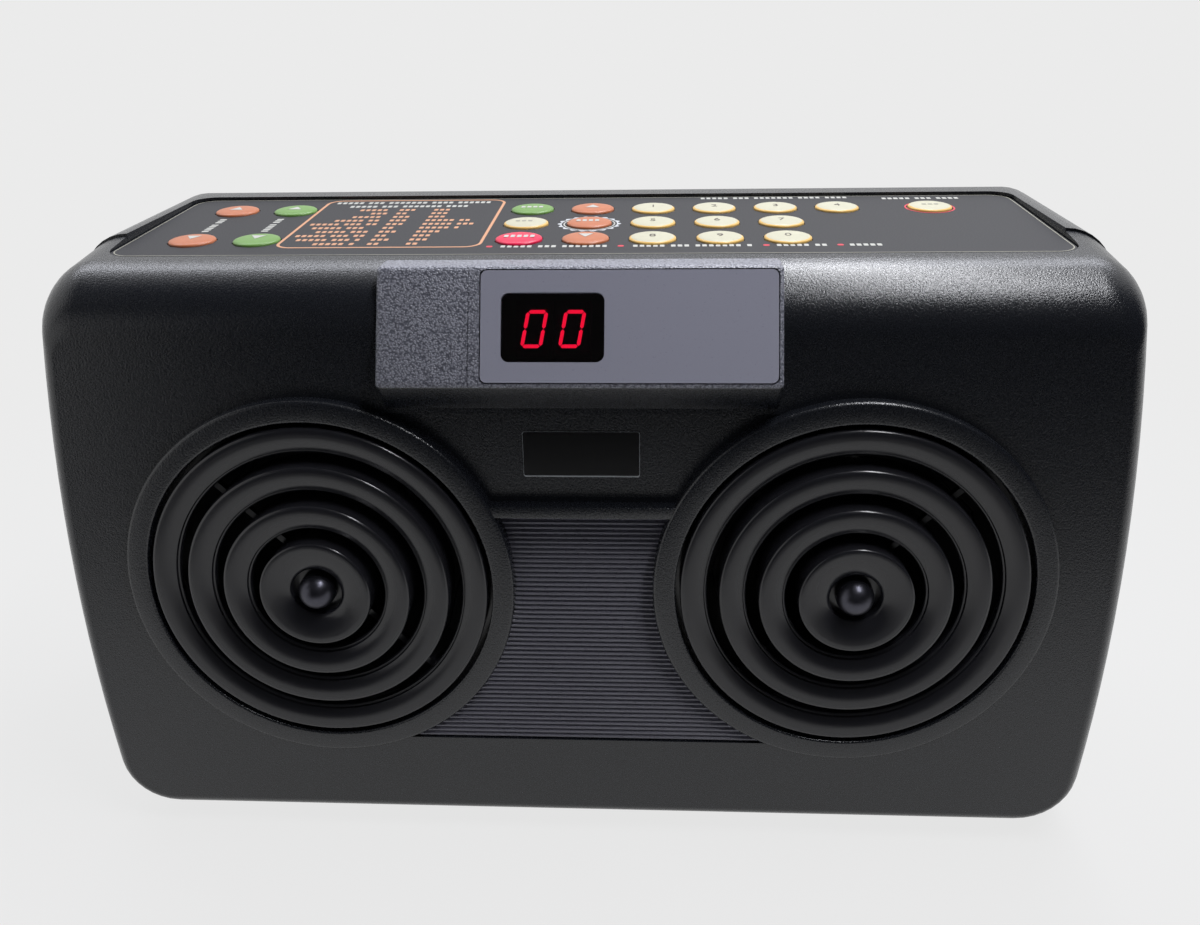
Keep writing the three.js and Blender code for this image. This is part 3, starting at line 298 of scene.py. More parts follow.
# Pressed and fired powder is dull and grainy. Its grains are drawn coarser, at 0.8 mm.
ferrite = grained("sintered_ferrite", "#2e2f34", 0.65, 0.8, 0.03, 0.08)
# Matted fibres and open foam drink the light, so the space behind the louvres stays dark. Their
# fibres and cells are drawn at 0.9 and 0.6 mm.
cone_paper = grained("paper_pulp_cone", "#161616", 0.9, 0.9, 0.05, 0.05)
foam_edge = grained("foam_surround", "#0e0e0e", 0.95, 0.6, 0.05, 0.03)
# Moulded rubber is matt, with a slight bloom.
foot_rubber = grained("moulded_rubber", "#151515", 0.85, 0.5, 0.02, 0.05)
# Solder mask flows over the tracks in low waves, and phenolic board shows its paper.
board_green = grained("solder_mask_green", "#1c5a33", 0.4, 4.0, 0.01, 0.08)
board_brown = grained("phenolic_board", "#8a6a3c", 0.55, 2.0, 0.01, 0.08)
# The sheets' edges in a core, and the oxide on a bolt, dull a metal and leave it dark.
lamination_steel = grained("laminated_core_steel", "#6a6c70", 0.5, 1.0, 0.03, 0.1, metallic=0.9)
bolt_black = grained("black_oxide_steel", "#4a4a52", 0.36, 1.0, 0.003, 0.05, metallic=0.9)
# Cast resin has a skin with shallow dimples.
module_epoxy = grained("digit_module_epoxy", "#101014", 0.45, 0.7, 0.005, 0.05)
# A smoked window is nearly flawless, and tints what is behind it.
smoked_acrylic = grained("acrylic_smoked", "#86505f", 0.03, 6.0, 0.002, 0, ior=1.49,
                         Transmission_Weight=1.0)
print("materials", len(bpy.data.materials))

# %% [markdown]
# The lit segments
#
# Each segment is a diffusing bar with a small lamp behind it, a little brighter near the lamp. A
# lamp object behind a mesh would do, but light in the surface itself is simpler and keeps the
# segment's edge sharp. A noise of 2.5 mm moves its red slightly, as the lamps do.

# %% Lit segments
SEGMENT_GLOW = 4.0
LAMP_SPOT = 2.5

lit_segment, shader, tree = new_material("led_segment_lit", "#e01838", 0.4)
place_node = add_node(tree, "ShaderNodeTexCoord")
spots = add_node(tree, "ShaderNodeTexNoise",
                 {"Vector": place_node.outputs["Object"], "Scale": 1 / (LAMP_SPOT * MM)})
shade = add_node(tree, "ShaderNodeValToRGB", {"Fac": spots.outputs["Fac"]})
for stop, colour in zip(shade.color_ramp.elements, ("#f01848", "#ff2c5c")):
    stop.color = linear(colour)
tree.links.new(shade.outputs["Color"], shader.inputs["Emission Color"])
shader.inputs["Emission Strength"].default_value = SEGMENT_GLOW
print("lit segments glow at", SEGMENT_GLOW)

# %% [markdown]
# Starting and closing a mesh
#
# Every piece starts with nothing selected, because an operator acts on all that is selected and the
# loaded frame leaves its nodes selected. A mesh could be written as lists of vertices, but a plane
# that is shaped in edit mode is how one works by hand. When the shape is done, doubles are welded
# and the faces are turned outwards.

# %% Start and close a mesh
WELD = 0.002


def clear_selection():
    if bpy.context.object and bpy.context.object.mode == "EDIT":
        bpy.ops.object.mode_set(mode="OBJECT")
    bpy.ops.object.select_all(action="DESELECT")


def pick(piece):
    clear_selection()
    piece.select_set(True)
    bpy.context.view_layer.objects.active = piece


def start_edit(name):
    bpy.context.object.name = name
    bpy.ops.object.mode_set(mode="EDIT")
    bpy.ops.mesh.select_all(action="SELECT")


def start_plane(name, size, middle, upright):
    """A plane in edit mode, flat or upright, of a size and with a middle in metres."""
    clear_selection()
    bpy.ops.mesh.primitive_plane_add(size=1)
    start_edit(name)
    if upright:
        bpy.ops.transform.rotate(value=math.pi / 2, orient_axis="X", center_override=(0, 0, 0))
    bpy.ops.transform.resize(value=size)
    bpy.ops.transform.translate(value=middle)


def close_mesh():
    bpy.ops.mesh.select_all(action="SELECT")
    bpy.ops.mesh.remove_doubles(threshold=WELD * MM)
    bpy.ops.mesh.normals_make_consistent(inside=False)
    bpy.ops.object.mode_set(mode="OBJECT")
    return bpy.context.object


print("doubles within", WELD, "mm are welded")

# %% [markdown]
# Finishing a piece
#
# Modifiers add a wall, soften edges and cut openings. They could stay live, but sizes, and faces
# for a second finish, are read from the mesh, so they are applied at once. A piece is made round the
# origin and then settled: its place and lean go into its mesh, and its object stays at the origin,
# unturned. Last it is dressed with a material and told which body it rides on, and the CAD nodes that
# it stands for are hidden.

# %% Finish a piece
def bake_place(piece):
    pick(piece)
    bpy.ops.object.transform_apply(location=True, rotation=True, scale=True)
    return piece


def settle(piece, place_mm=(0, 0, 0), lean=0.0):
    """Puts a piece that was made at the origin into the frame, leaned back by an angle."""
    piece.location = (place_mm[0] * MM, GRILLE_Y + place_mm[1] * MM, place_mm[2] * MM)
    piece.rotation_euler.x = -lean
    return bake_place(piece)


def apply_modifier(piece, kind, **settings):
    pick(piece)
    modifier = piece.modifiers.new(kind.lower(), kind)
    for name, value in settings.items():
        setattr(modifier, name, value)
    bpy.ops.object.modifier_apply(modifier=modifier.name)


def carve(piece, cutter):
    """Cuts one piece's volume out of another and throws the cutter away."""
    apply_modifier(piece, "BOOLEAN", operation="DIFFERENCE", solver="EXACT", object=cutter)
    bpy.data.objects.remove(cutter)


def dress(piece, material, body="housing", replaces=(), angle=35, flat_faces=False):
    """Faces that meet at more than the angle, in degrees, keep a sharp edge between them."""
    pick(piece)
    piece.data.materials.clear()
    piece.data.materials.append(material)
    bpy.ops.object.shade_smooth_by_angle(angle=math.radians(angle))
    if flat_faces:
        apply_modifier(piece, "WEIGHTED_NORMAL", weight=80, keep_sharp=True)
    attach(piece, body)
    if replaces:
        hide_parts(*replaces)
    print(piece.name, len(piece.data.polygons), "faces")
    return piece


def second_finish(piece, material, wanted):
    """Gives the faces that pass a test a second material."""
    piece.data.materials.append(material)
    for face in piece.data.polygons:
        if wanted(face):
            face.material_index = 1


print("CAD nodes to stand for", len(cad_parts))

# %% [markdown]
# The skin of the housing
#
# The housing is two open shells that meet at a seam. A shell could be cut from a block, but its
# rounded edge and even wall are easier to grow: a plane is bevelled at its corners, extruded to
# where the edge begins to round, and then inset and moved a little at a time. What grows is the
# outline, so each step is written as the depth, the top and the side inset that it reaches.

# %% Grow an outline
HALF_WIDTH = 140


def select_where(test):
    """Selects the vertices that pass a test of their place."""
    bpy.ops.mesh.select_all(action="DESELECT")
    bpy.ops.object.mode_set(mode="OBJECT")
    for vertex in bpy.context.object.data.vertices:
        vertex.select = test(vertex.co)
    bpy.ops.object.mode_set(mode="EDIT")


def select_edges(test):
    """Selects the edges that pass a test of their two ends."""
    bpy.ops.mesh.select_all(action="DESELECT")
    bpy.ops.mesh.select_mode(type="EDGE")
    bpy.ops.object.mode_set(mode="OBJECT")
    mesh = bpy.context.object.data
    for edge in mesh.edges:
        a, b = (mesh.vertices[i].co for i in edge.vertices)
        edge.select = test(a, b)
    bpy.ops.object.mode_set(mode="EDIT")
    bpy.ops.mesh.select_mode(type="VERT")


def next_outline(before, after):
    """Moves the selected end face on to the next outline, and leaves a wall behind it."""
    low = FOOT_HEIGHT + after[2]
    step = (0, (after[0] - before[0]) * MM, 0)
    if after[2] == before[2]:
        bpy.ops.mesh.extrude_region_move(TRANSFORM_OT_translate={"value": step})
    else:
        bpy.ops.mesh.inset(thickness=(after[2] - before[2]) * MM, use_even_offset=True)
        bpy.ops.transform.translate(value=step)
    reached = before[1] - (after[2] - before[2])
    bpy.ops.transform.resize(value=(1, 1, (after[1] - low) / (reached - low)),
                             center_override=(0, after[0] * MM, low * MM))
    return after


print("outline", 2 * HALF_WIDTH, "mm wide")

# %% [markdown]
# The bowed sides
#
# The outline has four rounded corners, wider at the bottom, and upright sides that are subdivided so
# that they can bow. The bow makes the housing widest at the height of the speakers. A bend would do
# it by hand but needs a window, so the vertices are moved by the rule of a circle of large radius,
# by which the mould was drawn too.

# %% Grow a housing skin
TOP_CORNER = 11.5
BOTTOM_CORNER = 17
CORNER_STEPS = 8
SIDE_CUTS = 12
LONG_EDGE = 50
BOW_RADIUS = 550


def housing_skin(name, mouth, straight, rings):
    """mouth and straight are (depth, top) of full outlines, a ring is (depth, top, side inset)."""
    depth, top = mouth
    middle = (top + FOOT_HEIGHT) / 2 * MM
    start_plane(name, (2 * HALF_WIDTH * MM, 1, (top - FOOT_HEIGHT) * MM), (0, depth * MM, middle),
                upright=True)
    for at_top, radius in ((False, BOTTOM_CORNER), (True, TOP_CORNER)):
        select_where(lambda co: (co.z > middle) == at_top)
        bpy.ops.mesh.bevel(offset=radius * MM, segments=CORNER_STEPS, affect="VERTICES")
    select_edges(lambda a, b: abs(a.x - b.x) < WELD * MM and abs(a.z - b.z) > LONG_EDGE * MM)
    bpy.ops.mesh.subdivide(number_cuts=SIDE_CUTS)
    bpy.ops.mesh.select_all(action="SELECT")
    outline = (*mouth, 0)
    for ring in [(*straight, 0), *rings]:
        outline = next_outline(outline, ring)
    return close_mesh()


def bow_sides(piece):
    for vertex in piece.data.vertices:
        bow = (vertex.co.z / MM - SPEAKER_HEIGHT) ** 2 / (2 * BOW_RADIUS)
        vertex.co.x -= math.copysign(bow * MM, vertex.co.x)


def give_wall(piece, depth_mm):
    """Deletes the one face that lies across the depth there, and thickens the rest inwards."""
    pick(piece)
    bpy.ops.object.mode_set(mode="EDIT")
    bpy.ops.mesh.select_mode(type="FACE")
    bpy.ops.mesh.select_all(action="DESELECT")
    bpy.ops.object.mode_set(mode="OBJECT")
    for face in piece.data.polygons:
        face.select = abs(face.center.y - depth_mm * MM) < WELD * MM and abs(face.normal.y) > 0.99
    bpy.ops.object.mode_set(mode="EDIT")
    bpy.ops.mesh.delete(type="ONLY_FACE")
    bpy.ops.mesh.select_mode(type="VERT")
    bpy.ops.object.mode_set(mode="OBJECT")
    apply_modifier(piece, "SOLIDIFY", thickness=WALL * MM, offset=-1, use_even_offset=True)


top_bow = (PANEL_HEIGHT - SPEAKER_HEIGHT) ** 2 / (2 * BOW_RADIUS)
print("the sides draw in by", round(top_bow, 1), "mm at the top")

# %% [markdown]
# The front moulding
#
# Its top front edge is rounded far more than its sides, which is what catches the light along the
# whole width. A bevel would round all the edges alike, so the rings follow a quarter ellipse. The
# front leans back by 5.85 degrees. A shear would do that by hand but needs a window, so the vertices
# near the front are pushed back in proportion to their height.

# %% Front moulding
FRONT_LEAN = math.radians(5.85)
FACE_SETBACK = 1.4
TOP_EDGE = 16
SIDE_EDGE = 6.5
EDGE_STEPS = 10
FRONT_RIM = 1.5


def front_rings():
    for i in range(EDGE_STEPS - 1, -1, -1):
        angle = i / EDGE_STEPS * math.pi / 2
        drawn = 1 - math.sin(angle)
        yield TOP_EDGE * (1 - math.cos(angle)), PANEL_HEIGHT - TOP_EDGE * drawn, SIDE_EDGE * drawn


front = housing_skin("front_moulding", (SEAM_DEPTH, PANEL_HEIGHT + FRONT_RIM),
                     (TOP_EDGE, PANEL_HEIGHT), front_rings())
for vertex in front.data.vertices:
    if vertex.co.y < (TOP_EDGE + 1) * MM:
        above = vertex.co.z - SPEAKER_HEIGHT * MM
        vertex.co.y += FACE_SETBACK * MM + math.tan(FRONT_LEAN) * above
bow_sides(front)
give_wall(front, SEAM_DEPTH)
settle(front)
print("front moulding", [round(c / MM, 1) for c in front.dimensions])

# %% [markdown]
# Turned shapes
#
# Bores, bezels, louvres, keys and feet are round, as a lathe would make them. A cylinder with edited
# loops could serve, but a section that is spun keeps every radius exact. The section starts from one
# vertex, which is extruded from point to point, as one clicks out a profile by hand.

# %% Draw and spin a section
def draw_profile(name, points_mm):
    """An edge chain through points given in millimetres."""
    clear_selection()
    bpy.ops.mesh.primitive_plane_add(size=MM)
    start_edit(name)
    bpy.ops.mesh.merge(type="CENTER")
    bpy.ops.transform.translate(value=[c * MM for c in points_mm[0]])
    for before, after in zip(points_mm, points_mm[1:]):
        step = [(b - a) * MM for a, b in zip(before, after)]
        bpy.ops.mesh.extrude_region_move(TRANSFORM_OT_translate={"value": step})


def turned(name, profile, steps=96):
    """A profile of [radius, along] points, spun round the Y axis."""
    draw_profile(name, [(radius, along, 0) for radius, along in profile])
    bpy.ops.mesh.select_all(action="SELECT")
    bpy.ops.mesh.spin(steps=steps, angle=math.tau, center=(0, 0, 0), axis=(0, 1, 0))
    return close_mesh()


def disc_cutter(radius, y_range, steps):
    near, far = y_range
    return turned("disc_cutter", [(0, near), (radius, near), (radius, far), (0, far)], steps)


BEZEL_BORE = 45.4
BORE_MARGIN = 2
BORE_REACH = (-20, 24)
for side in SIDES.values():
    bore = disc_cutter(BEZEL_BORE + BORE_MARGIN, BORE_REACH, 128)
    carve(front, settle(bore, (side * SPEAKER_X, 0, SPEAKER_HEIGHT), GRILLE_LEAN))
print("speaker bores", 2 * (BEZEL_BORE + BORE_MARGIN), "mm across")

# %% [markdown]
# The opening of the column
#
# Between the speakers the front wall opens for the column. The opening has rounded corners, and so
# have labels, strokes and slots further down. A cube with its edges bevelled would round the wrong
# edges too, so a plane has its four corners bevelled and is then given its thickness. Such a plate
# cuts the opening, as a milling cutter would.

# %% Column opening
COLUMN_HALF = 48.8
FIELD_TOP = 47
RAMP_BOTTOM = -46.8
COLUMN_CUT = (-20, 12)


def rounded_block(name, ranges, thin, corner, steps):
    """Ranges along x, y and z in millimetres. thin is the number of the axis of thickness."""
    size = [(high - low) * MM for low, high in ranges]
    middle = [(low + high) / 2 * MM for low, high in ranges]
    middle[thin] = ranges[thin][0] * MM
    thickness = [0, 0, 0]
    thickness[thin], size[thin] = size[thin], 1
    start_plane(name, size, middle, upright=thin == 1)
    bpy.ops.mesh.bevel(offset=corner * MM, segments=steps, affect="VERTICES")
    bpy.ops.mesh.select_all(action="SELECT")
    bpy.ops.mesh.extrude_region_move(TRANSFORM_OT_translate={"value": thickness})
    return close_mesh()


def rounded_slab(name, x_range, z_range, y_range, corner, steps=6):
    """A plate that stands upright."""
    return rounded_block(name, (x_range, y_range, z_range), 1, corner, steps)


def lean_with_front(piece):
    """Settles a piece that was drawn level, round the height of the speakers."""
    return settle(piece, (0, 0, SPEAKER_HEIGHT), GRILLE_LEAN)


column = rounded_slab("column", (-COLUMN_HALF, COLUMN_HALF), (RAMP_BOTTOM, FIELD_TOP), COLUMN_CUT,
                      0.5, 1)
carve(front, lean_with_front(column))
print("column opening", 2 * COLUMN_HALF, "by", FIELD_TOP - RAMP_BOTTOM, "mm")

# %% [markdown]
# The recess of the key panel
#
# The key panel lies in a recess that reaches over both mouldings. It could be cut once into the two
# joined together, but they stay two pieces, so that the seam shows. The same plate, a hair larger
# than the panel, is therefore cut out of the front moulding here and out of the rear one below.

# %% Panel recess
PANEL_HALF = 121.6
PANEL_FRONT = 26.3
PANEL_BACK = 91.3
PANEL_CORNER = 6
PANEL_CUT = (140, 175)


def rounded_plate(name, x_range, y_range, z_range, corner, steps=6):
    """A plate that lies flat."""
    return rounded_block(name, (x_range, y_range, z_range), 2, corner, steps)


def cut_panel_recess(piece):
    cutter = rounded_plate("panel_cutter", (-PANEL_HALF - GAP, PANEL_HALF + GAP),
                           (PANEL_FRONT - GAP, PANEL_BACK + GAP), PANEL_CUT, PANEL_CORNER, 8)
    carve(piece, settle(cutter))


cut_panel_recess(front)
print("panel recess", 2 * PANEL_HALF, "by", PANEL_BACK - PANEL_FRONT, "mm")

# %% [markdown]
# The seat of the display housing
#
# The display housing sits in a notch over the top front edge. Its side view is one profile, so the
# notch could be cut by several plates, but the profile itself, pulled across and 1 mm narrower to
# each side, cuts it in one go and can't drift from the piece that fills it.

# %% Display opening
FIELD_DEPTH = 3.7
DISPLAY_FOOT = 56.3
DISPLAY_TOP_DEPTH = 13.5
DISPLAY_PROUD = 0.6
DISPLAY_TOP = PANEL_HEIGHT - SPEAKER_HEIGHT + DISPLAY_PROUD
DISPLAY_BACK = 22.5
DISPLAY_BACK_TALL = 12
DISPLAY_HALF = 48.5
DISPLAY_SEAT = 1
HEEL_DEPTH, HEEL_RISE = 4, 2
UNDERSIDE = math.tan(GRILLE_LEAN) * FIELD_TOP + FIELD_DEPTH


def pulled(name, profile, x_from, x_to):
    """A closed profile of [depth, height] points, pulled across from one x to another."""
    draw_profile(name, [(x_from, depth, height) for depth, height in profile])
    bpy.ops.mesh.select_all(action="SELECT")
    bpy.ops.mesh.remove_doubles(threshold=WELD * MM)
    bpy.ops.mesh.edge_face_add()
    step = ((x_to - x_from) * MM, 0, 0)
    bpy.ops.mesh.extrude_region_move(TRANSFORM_OT_translate={"value": step})
    return close_mesh()


hump_profile = [
    (0, DISPLAY_FOOT), (DISPLAY_TOP_DEPTH, DISPLAY_TOP),
    (DISPLAY_BACK, DISPLAY_TOP - DISPLAY_PROUD), (DISPLAY_BACK, DISPLAY_TOP - DISPLAY_BACK_TALL),
    (UNDERSIDE + HEEL_DEPTH, FIELD_TOP + HEEL_RISE), (UNDERSIDE, FIELD_TOP), (0, DISPLAY_FOOT)]
opening = pulled("display_opening", hump_profile, DISPLAY_SEAT - DISPLAY_HALF,
                 DISPLAY_HALF - DISPLAY_SEAT)
carve(front, settle(opening, (0, 0, SPEAKER_HEIGHT)))
dress(front, fine_grain_abs, replaces=["front_shell"], flat_faces=True)

# %% [markdown]
# The rear moulding
#
# It starts at the seam, a hair higher than the front one, so that the seam shows as a small step on
# the sides of the panel recess. It could be the front one turned round, but its back edges have a
# small, even round and it doesn't lean, so it grows from the same helper with rings on a quarter
# circle.

# %% Rear moulding
BACK_EDGE = 5
BACK_STEPS = 6
REAR_RIM = 2.2
BACK_RIM = 0.8


def back_rings():
    for i in range(1, BACK_STEPS + 1):
        angle = i / BACK_STEPS * math.pi / 2
        drawn = BACK_EDGE * (1 - math.cos(angle))
        yield REAR_DEPTH - BACK_EDGE * (1 - math.sin(angle)), PANEL_HEIGHT + BACK_RIM - drawn, drawn


rear = housing_skin("rear_moulding", (SEAM_DEPTH + GAP, PANEL_HEIGHT + REAR_RIM),
                    (REAR_DEPTH - BACK_EDGE, PANEL_HEIGHT + BACK_RIM), back_rings())
bow_sides(rear)
give_wall(rear, SEAM_DEPTH + GAP)
settle(rear)
cut_panel_recess(rear)
print("rear moulding", [round(c / MM, 1) for c in rear.dimensions])

# %% [markdown]
# Openings in the rear wall
#
# The rear wall has an inlet, a rocker switch, two line sockets, two groups of vent slots and four
# deep screw holes. They could be one drawing that is cut in one pass, but a short cutter for each
# keeps the places easy to read and to change.

# %% Openings in the rear wall
SOCKET_HEIGHT = 34
INLET = (-98, 26.6, 15.6)
SWITCH = (-66, 15.6, 21.6)
LINE_SOCKETS = (84, 108)
SOCKET_RADIUS = 4.9
VENT_HEIGHT = 128
VENT_SLOTS = 6
VENT_PITCH = 6
VENT_WIDTH = 2.6
VENT_TALL = 26
BOSS_X = 118
BOSS_HEIGHTS = {"low": 18, "high": 138}
SCREW_BORE = 3.3
SOCKET_CORNER, VENT_CORNER = 0.4, 1.2
REAR_CUT = (REAR_DEPTH - 8, REAR_DEPTH + 2)


def cut_slot(middle, height, width, tall, corner):
    block = rounded_slab("slot", (middle - width / 2, middle + width / 2),
                         (height - tall / 2, height + tall / 2), REAR_CUT, corner, 4)
    carve(rear, settle(block))


def cut_hole(across, height, radius):
    carve(rear, settle(disc_cutter(radius, REAR_CUT, 32), (across, 0, height)))


for middle, width, tall in (INLET, SWITCH):
    cut_slot(middle, SOCKET_HEIGHT, width, tall, SOCKET_CORNER)
for side in SIDES.values():
    for i in range(VENT_SLOTS):
        middle = side * SPEAKER_X + (i - (VENT_SLOTS - 1) / 2) * VENT_PITCH
        cut_slot(middle, VENT_HEIGHT, VENT_WIDTH, VENT_TALL, VENT_CORNER)
    for height in BOSS_HEIGHTS.values():
        cut_hole(side * BOSS_X, height, SCREW_BORE)
for across in LINE_SOCKETS:
    cut_hole(across, SOCKET_HEIGHT, SOCKET_RADIUS)
dress(rear, fine_grain_abs, replaces=["rear_shell"], flat_faces=True)

# %% [markdown]
# The screw tubes
#
# Behind each hole a tube leads to the seat of the screw's head, half way through the housing. On the
# real moulding it grows out of the wall. It is a turned piece of its own here, because only its
# inside shows, and a second round section is simpler than a deep cut.

# %% Screw tubes
SCREW_SEAT = 54.3
SEAT_THICKNESS = 3
SHANK_BORE = 1.7
TUBE_RADIUS = 4.8

tube_end, seat_back = REAR_DEPTH - 1, SCREW_SEAT - SEAT_THICKNESS
tube_section = [(SCREW_BORE, tube_end), (SCREW_BORE, SCREW_SEAT), (SHANK_BORE, SCREW_SEAT),
                (SHANK_BORE, seat_back), (TUBE_RADIUS, seat_back), (TUBE_RADIUS, tube_end),
                (SCREW_BORE, tube_end)]
for side_name, side in SIDES.items():
    for height_name, height in BOSS_HEIGHTS.items():
        tube = turned(f"screw_tube_{height_name}_{side_name}", tube_section, 32)
        settle(tube, (side * BOSS_X, 0, height))
        dress(tube, satin_abs, replaces=["rear_shell"])

# %% [markdown]
# The speaker bezels
#
# Each bezel is a ring of the front moulding. It stands level on its own plane while the wall behind
# it leans away, so it is flush at the bottom and proud at the top, where it throws a shadow. It
# could be raised out of the wall by insets, but it is spun from its section, with a small round on
# both lips, because the two lips are what draws the thin arcs of light.

# %% Bezels
BEZEL_OUTER = 51.2
BEZEL_PROUD = 0.5
INNER_LIP = 0.7
OUTER_LIP = 1.0
COLLAR_DEPTH = 8


def round_corner(centre, radius, start, turn=90, steps=4):
    """Points of a corner's arc, angles in degrees, in [radius, along] coordinates."""
    points = []
    for i in range(steps + 1):
        angle = math.radians(start + turn * i / steps)
        points.append((centre[0] + radius * math.cos(angle), centre[1] + radius * math.sin(angle)))
    return points


bezel_section = [
    (BEZEL_BORE, COLLAR_DEPTH),
    *round_corner((BEZEL_BORE + INNER_LIP, INNER_LIP - BEZEL_PROUD), INNER_LIP, 180),
    *round_corner((BEZEL_OUTER - OUTER_LIP, OUTER_LIP - BEZEL_PROUD), OUTER_LIP, 270),
    (BEZEL_OUTER, COLLAR_DEPTH),
    (BEZEL_BORE, COLLAR_DEPTH),
]
for name, side in SIDES.items():
    bezel = turned(f"bezel_{name}", bezel_section, 128)
    settle(bezel, (side * SPEAKER_X, 0, SPEAKER_HEIGHT), GRILLE_LEAN)
    dress(bezel, fine_grain_abs, replaces=["front_shell"])

# %% [markdown]
# The sections of the louvres
#
# Three rings and a disc step forward towards the middle, so that sound passes between them and the
# cone can't be touched. A ring has a thin skirt, a rounded outer lip, a face that is nearly level
# and rolls back at its inner side, and a rounded inner lip. It could be a bent strip, but a closed
# section gives the lips the thickness that their highlights need. The disc ends in a well with the
# domed head of a bolt.

# %% Louvre sections
RINGS = ((44.2, 0.8), (34.3, 2.2), (24.4, 3.8))
RING_FACE = 6.9
RING_DROP = 1.7
RING_LIP = 1.6
RING_WALL = 1.8
OUTER_EDGE, INNER_EDGE = 0.9, 0.6
FACE_STEPS = 7
ROLL_BACK = 2.5
BOLT_RADIUS = 4.8
BOLT_SEAT = -2.1
DISH_RADIUS = 14.5


def louvre_section(radius, proud):
    """The face drops by a power of the way in, so it is nearly level and rolls back at its end."""
    face, back = radius - RING_FACE, RING_DROP + RING_LIP - proud
    points = [(radius, COLLAR_DEPTH)]
    points += round_corner((radius - OUTER_EDGE, OUTER_EDGE - proud), OUTER_EDGE, 0, -90)
    for i in range(1, FACE_STEPS):
        share = i / FACE_STEPS
        points.append((radius - OUTER_EDGE - share * (RING_FACE - OUTER_EDGE),
                       RING_DROP * share ** ROLL_BACK - proud))
    points += round_corner((face + INNER_EDGE, RING_DROP + INNER_EDGE - proud), INNER_EDGE, 270, -90)
    return points + [(face, back), (radius - RING_WALL, back), (radius - RING_WALL, COLLAR_DEPTH),
                     (radius, COLLAR_DEPTH)]


bolt_dome = [(BOLT_RADIUS * math.cos(angle), BOLT_SEAT - BOLT_RADIUS * math.sin(angle))
             for angle in [math.pi / 2 * i / 10 for i in range(10)]]
dish_section = [
    (DISH_RADIUS, COLLAR_DEPTH), *round_corner((13.8, -4.3), 0.7, 0, -90),
    (12.6, -4.9), (11.0, -4.65), (9.2, -4.25), (7.6, -3.7), (6.9, -3.3), (6.5, -2.7), (6.4, 0.1),
    (4.85, 0.1), *bolt_dome, (0, BOLT_SEAT - BOLT_RADIUS),
    (0, 1.4), (12.7, 1.4), (12.7, COLLAR_DEPTH), (DISH_RADIUS, COLLAR_DEPTH)]
flange_section = [(42.4, 7), (44.1, 7), (44.1, 8.3), (50, 8.3), (50, 10.3), (42.4, 10.3), (42.4, 7)]
print("louvre rings", [2 * radius for radius, proud in RINGS], "mm across")

# %% [markdown]
# The grilles
#
# On the real part the rings, four webs behind them, the disc and a flange are one moulding. A
# Boolean union would fuse them, but it can spoil the smooth lips, so the closed parts are joined
# into one mesh and overlap where they meet. The bolt's head is steel, so its faces get a second
# finish.

# %% Speaker grilles
WEBS = 4
WEB_REACH = (13.2, 43)
WEB_HALF = 0.8
WEB_DEPTH = (6, 8)


def join_pieces(name, pieces):
    pick(pieces[0])
    for piece in pieces:
        piece.select_set(True)
    bpy.ops.object.join()
    pieces[0].name = name
    return pieces[0]


def speaker_grille(name):
    parts = [turned(f"ring_{i}", louvre_section(*ring), 128) for i, ring in enumerate(RINGS)]
    parts += [turned("dish", dish_section), turned("flange", flange_section)]
    for i in range(WEBS):
        web = rounded_slab("web", WEB_REACH, (-WEB_HALF, WEB_HALF), WEB_DEPTH, 0.2, 1)
        web.rotation_euler.y = math.tau * (i + 0.5) / WEBS
        parts.append(bake_place(web))
    return join_pieces(name, parts)


for name, side in SIDES.items():
    grille = speaker_grille(f"louvre_grille_{name}")
    settle(grille, (side * SPEAKER_X, 0, SPEAKER_HEIGHT), GRILLE_LEAN)
    dress(grille, satin_abs, replaces=[f"speaker_grille_{name}"])
    second_finish(grille, bolt_black, lambda face: math.hypot(
        face.center.x - side * SPEAKER_X * MM, face.center.z - SPEAKER_HEIGHT * MM) < BOLT_RADIUS * MM)

# %% [markdown]
# The ribbed ramp
#
# Between the speakers a ramp of fine ribs runs out towards the bottom. The ribs could be copies of
# one bar, but on the mould they are grooves in one sloping face, so the ramp is one profile of flat
# teeth, drawn from top to bottom and pulled across. The speaker bores then bite into both its sides.

# %% Ribbed ramp
BAR_TOP = 23.1
BAR_TALL = 3.1
RAMP_TOP = BAR_TOP - BAR_TALL
RAMP_TOP_DEPTH = 5.2
RAMP_BOTTOM_DEPTH = 1.2
BACKING = 3
TUCK, EDGE_TUCK = 2, 1
RIBS = 50
RIB_HEIGHT = 0.6
TOOTH = ((0, 0), (RIB_HEIGHT, 0.3), (RIB_HEIGHT, 0.62), (0, 0.92))


def ramp_depth(height):
    share = (height - RAMP_BOTTOM) / (RAMP_TOP - RAMP_BOTTOM)
    return RAMP_BOTTOM_DEPTH + (RAMP_TOP_DEPTH - RAMP_BOTTOM_DEPTH) * share


def cut_level_bores(piece):
    """Cuts both speaker bores out of a piece that hasn't been leaned back yet."""
    for side in SIDES.values():
        bore = disc_cutter(BEZEL_BORE + BORE_MARGIN, BORE_REACH, 96)
        bore.location.x = side * SPEAKER_X * MM
        carve(piece, bake_place(bore))


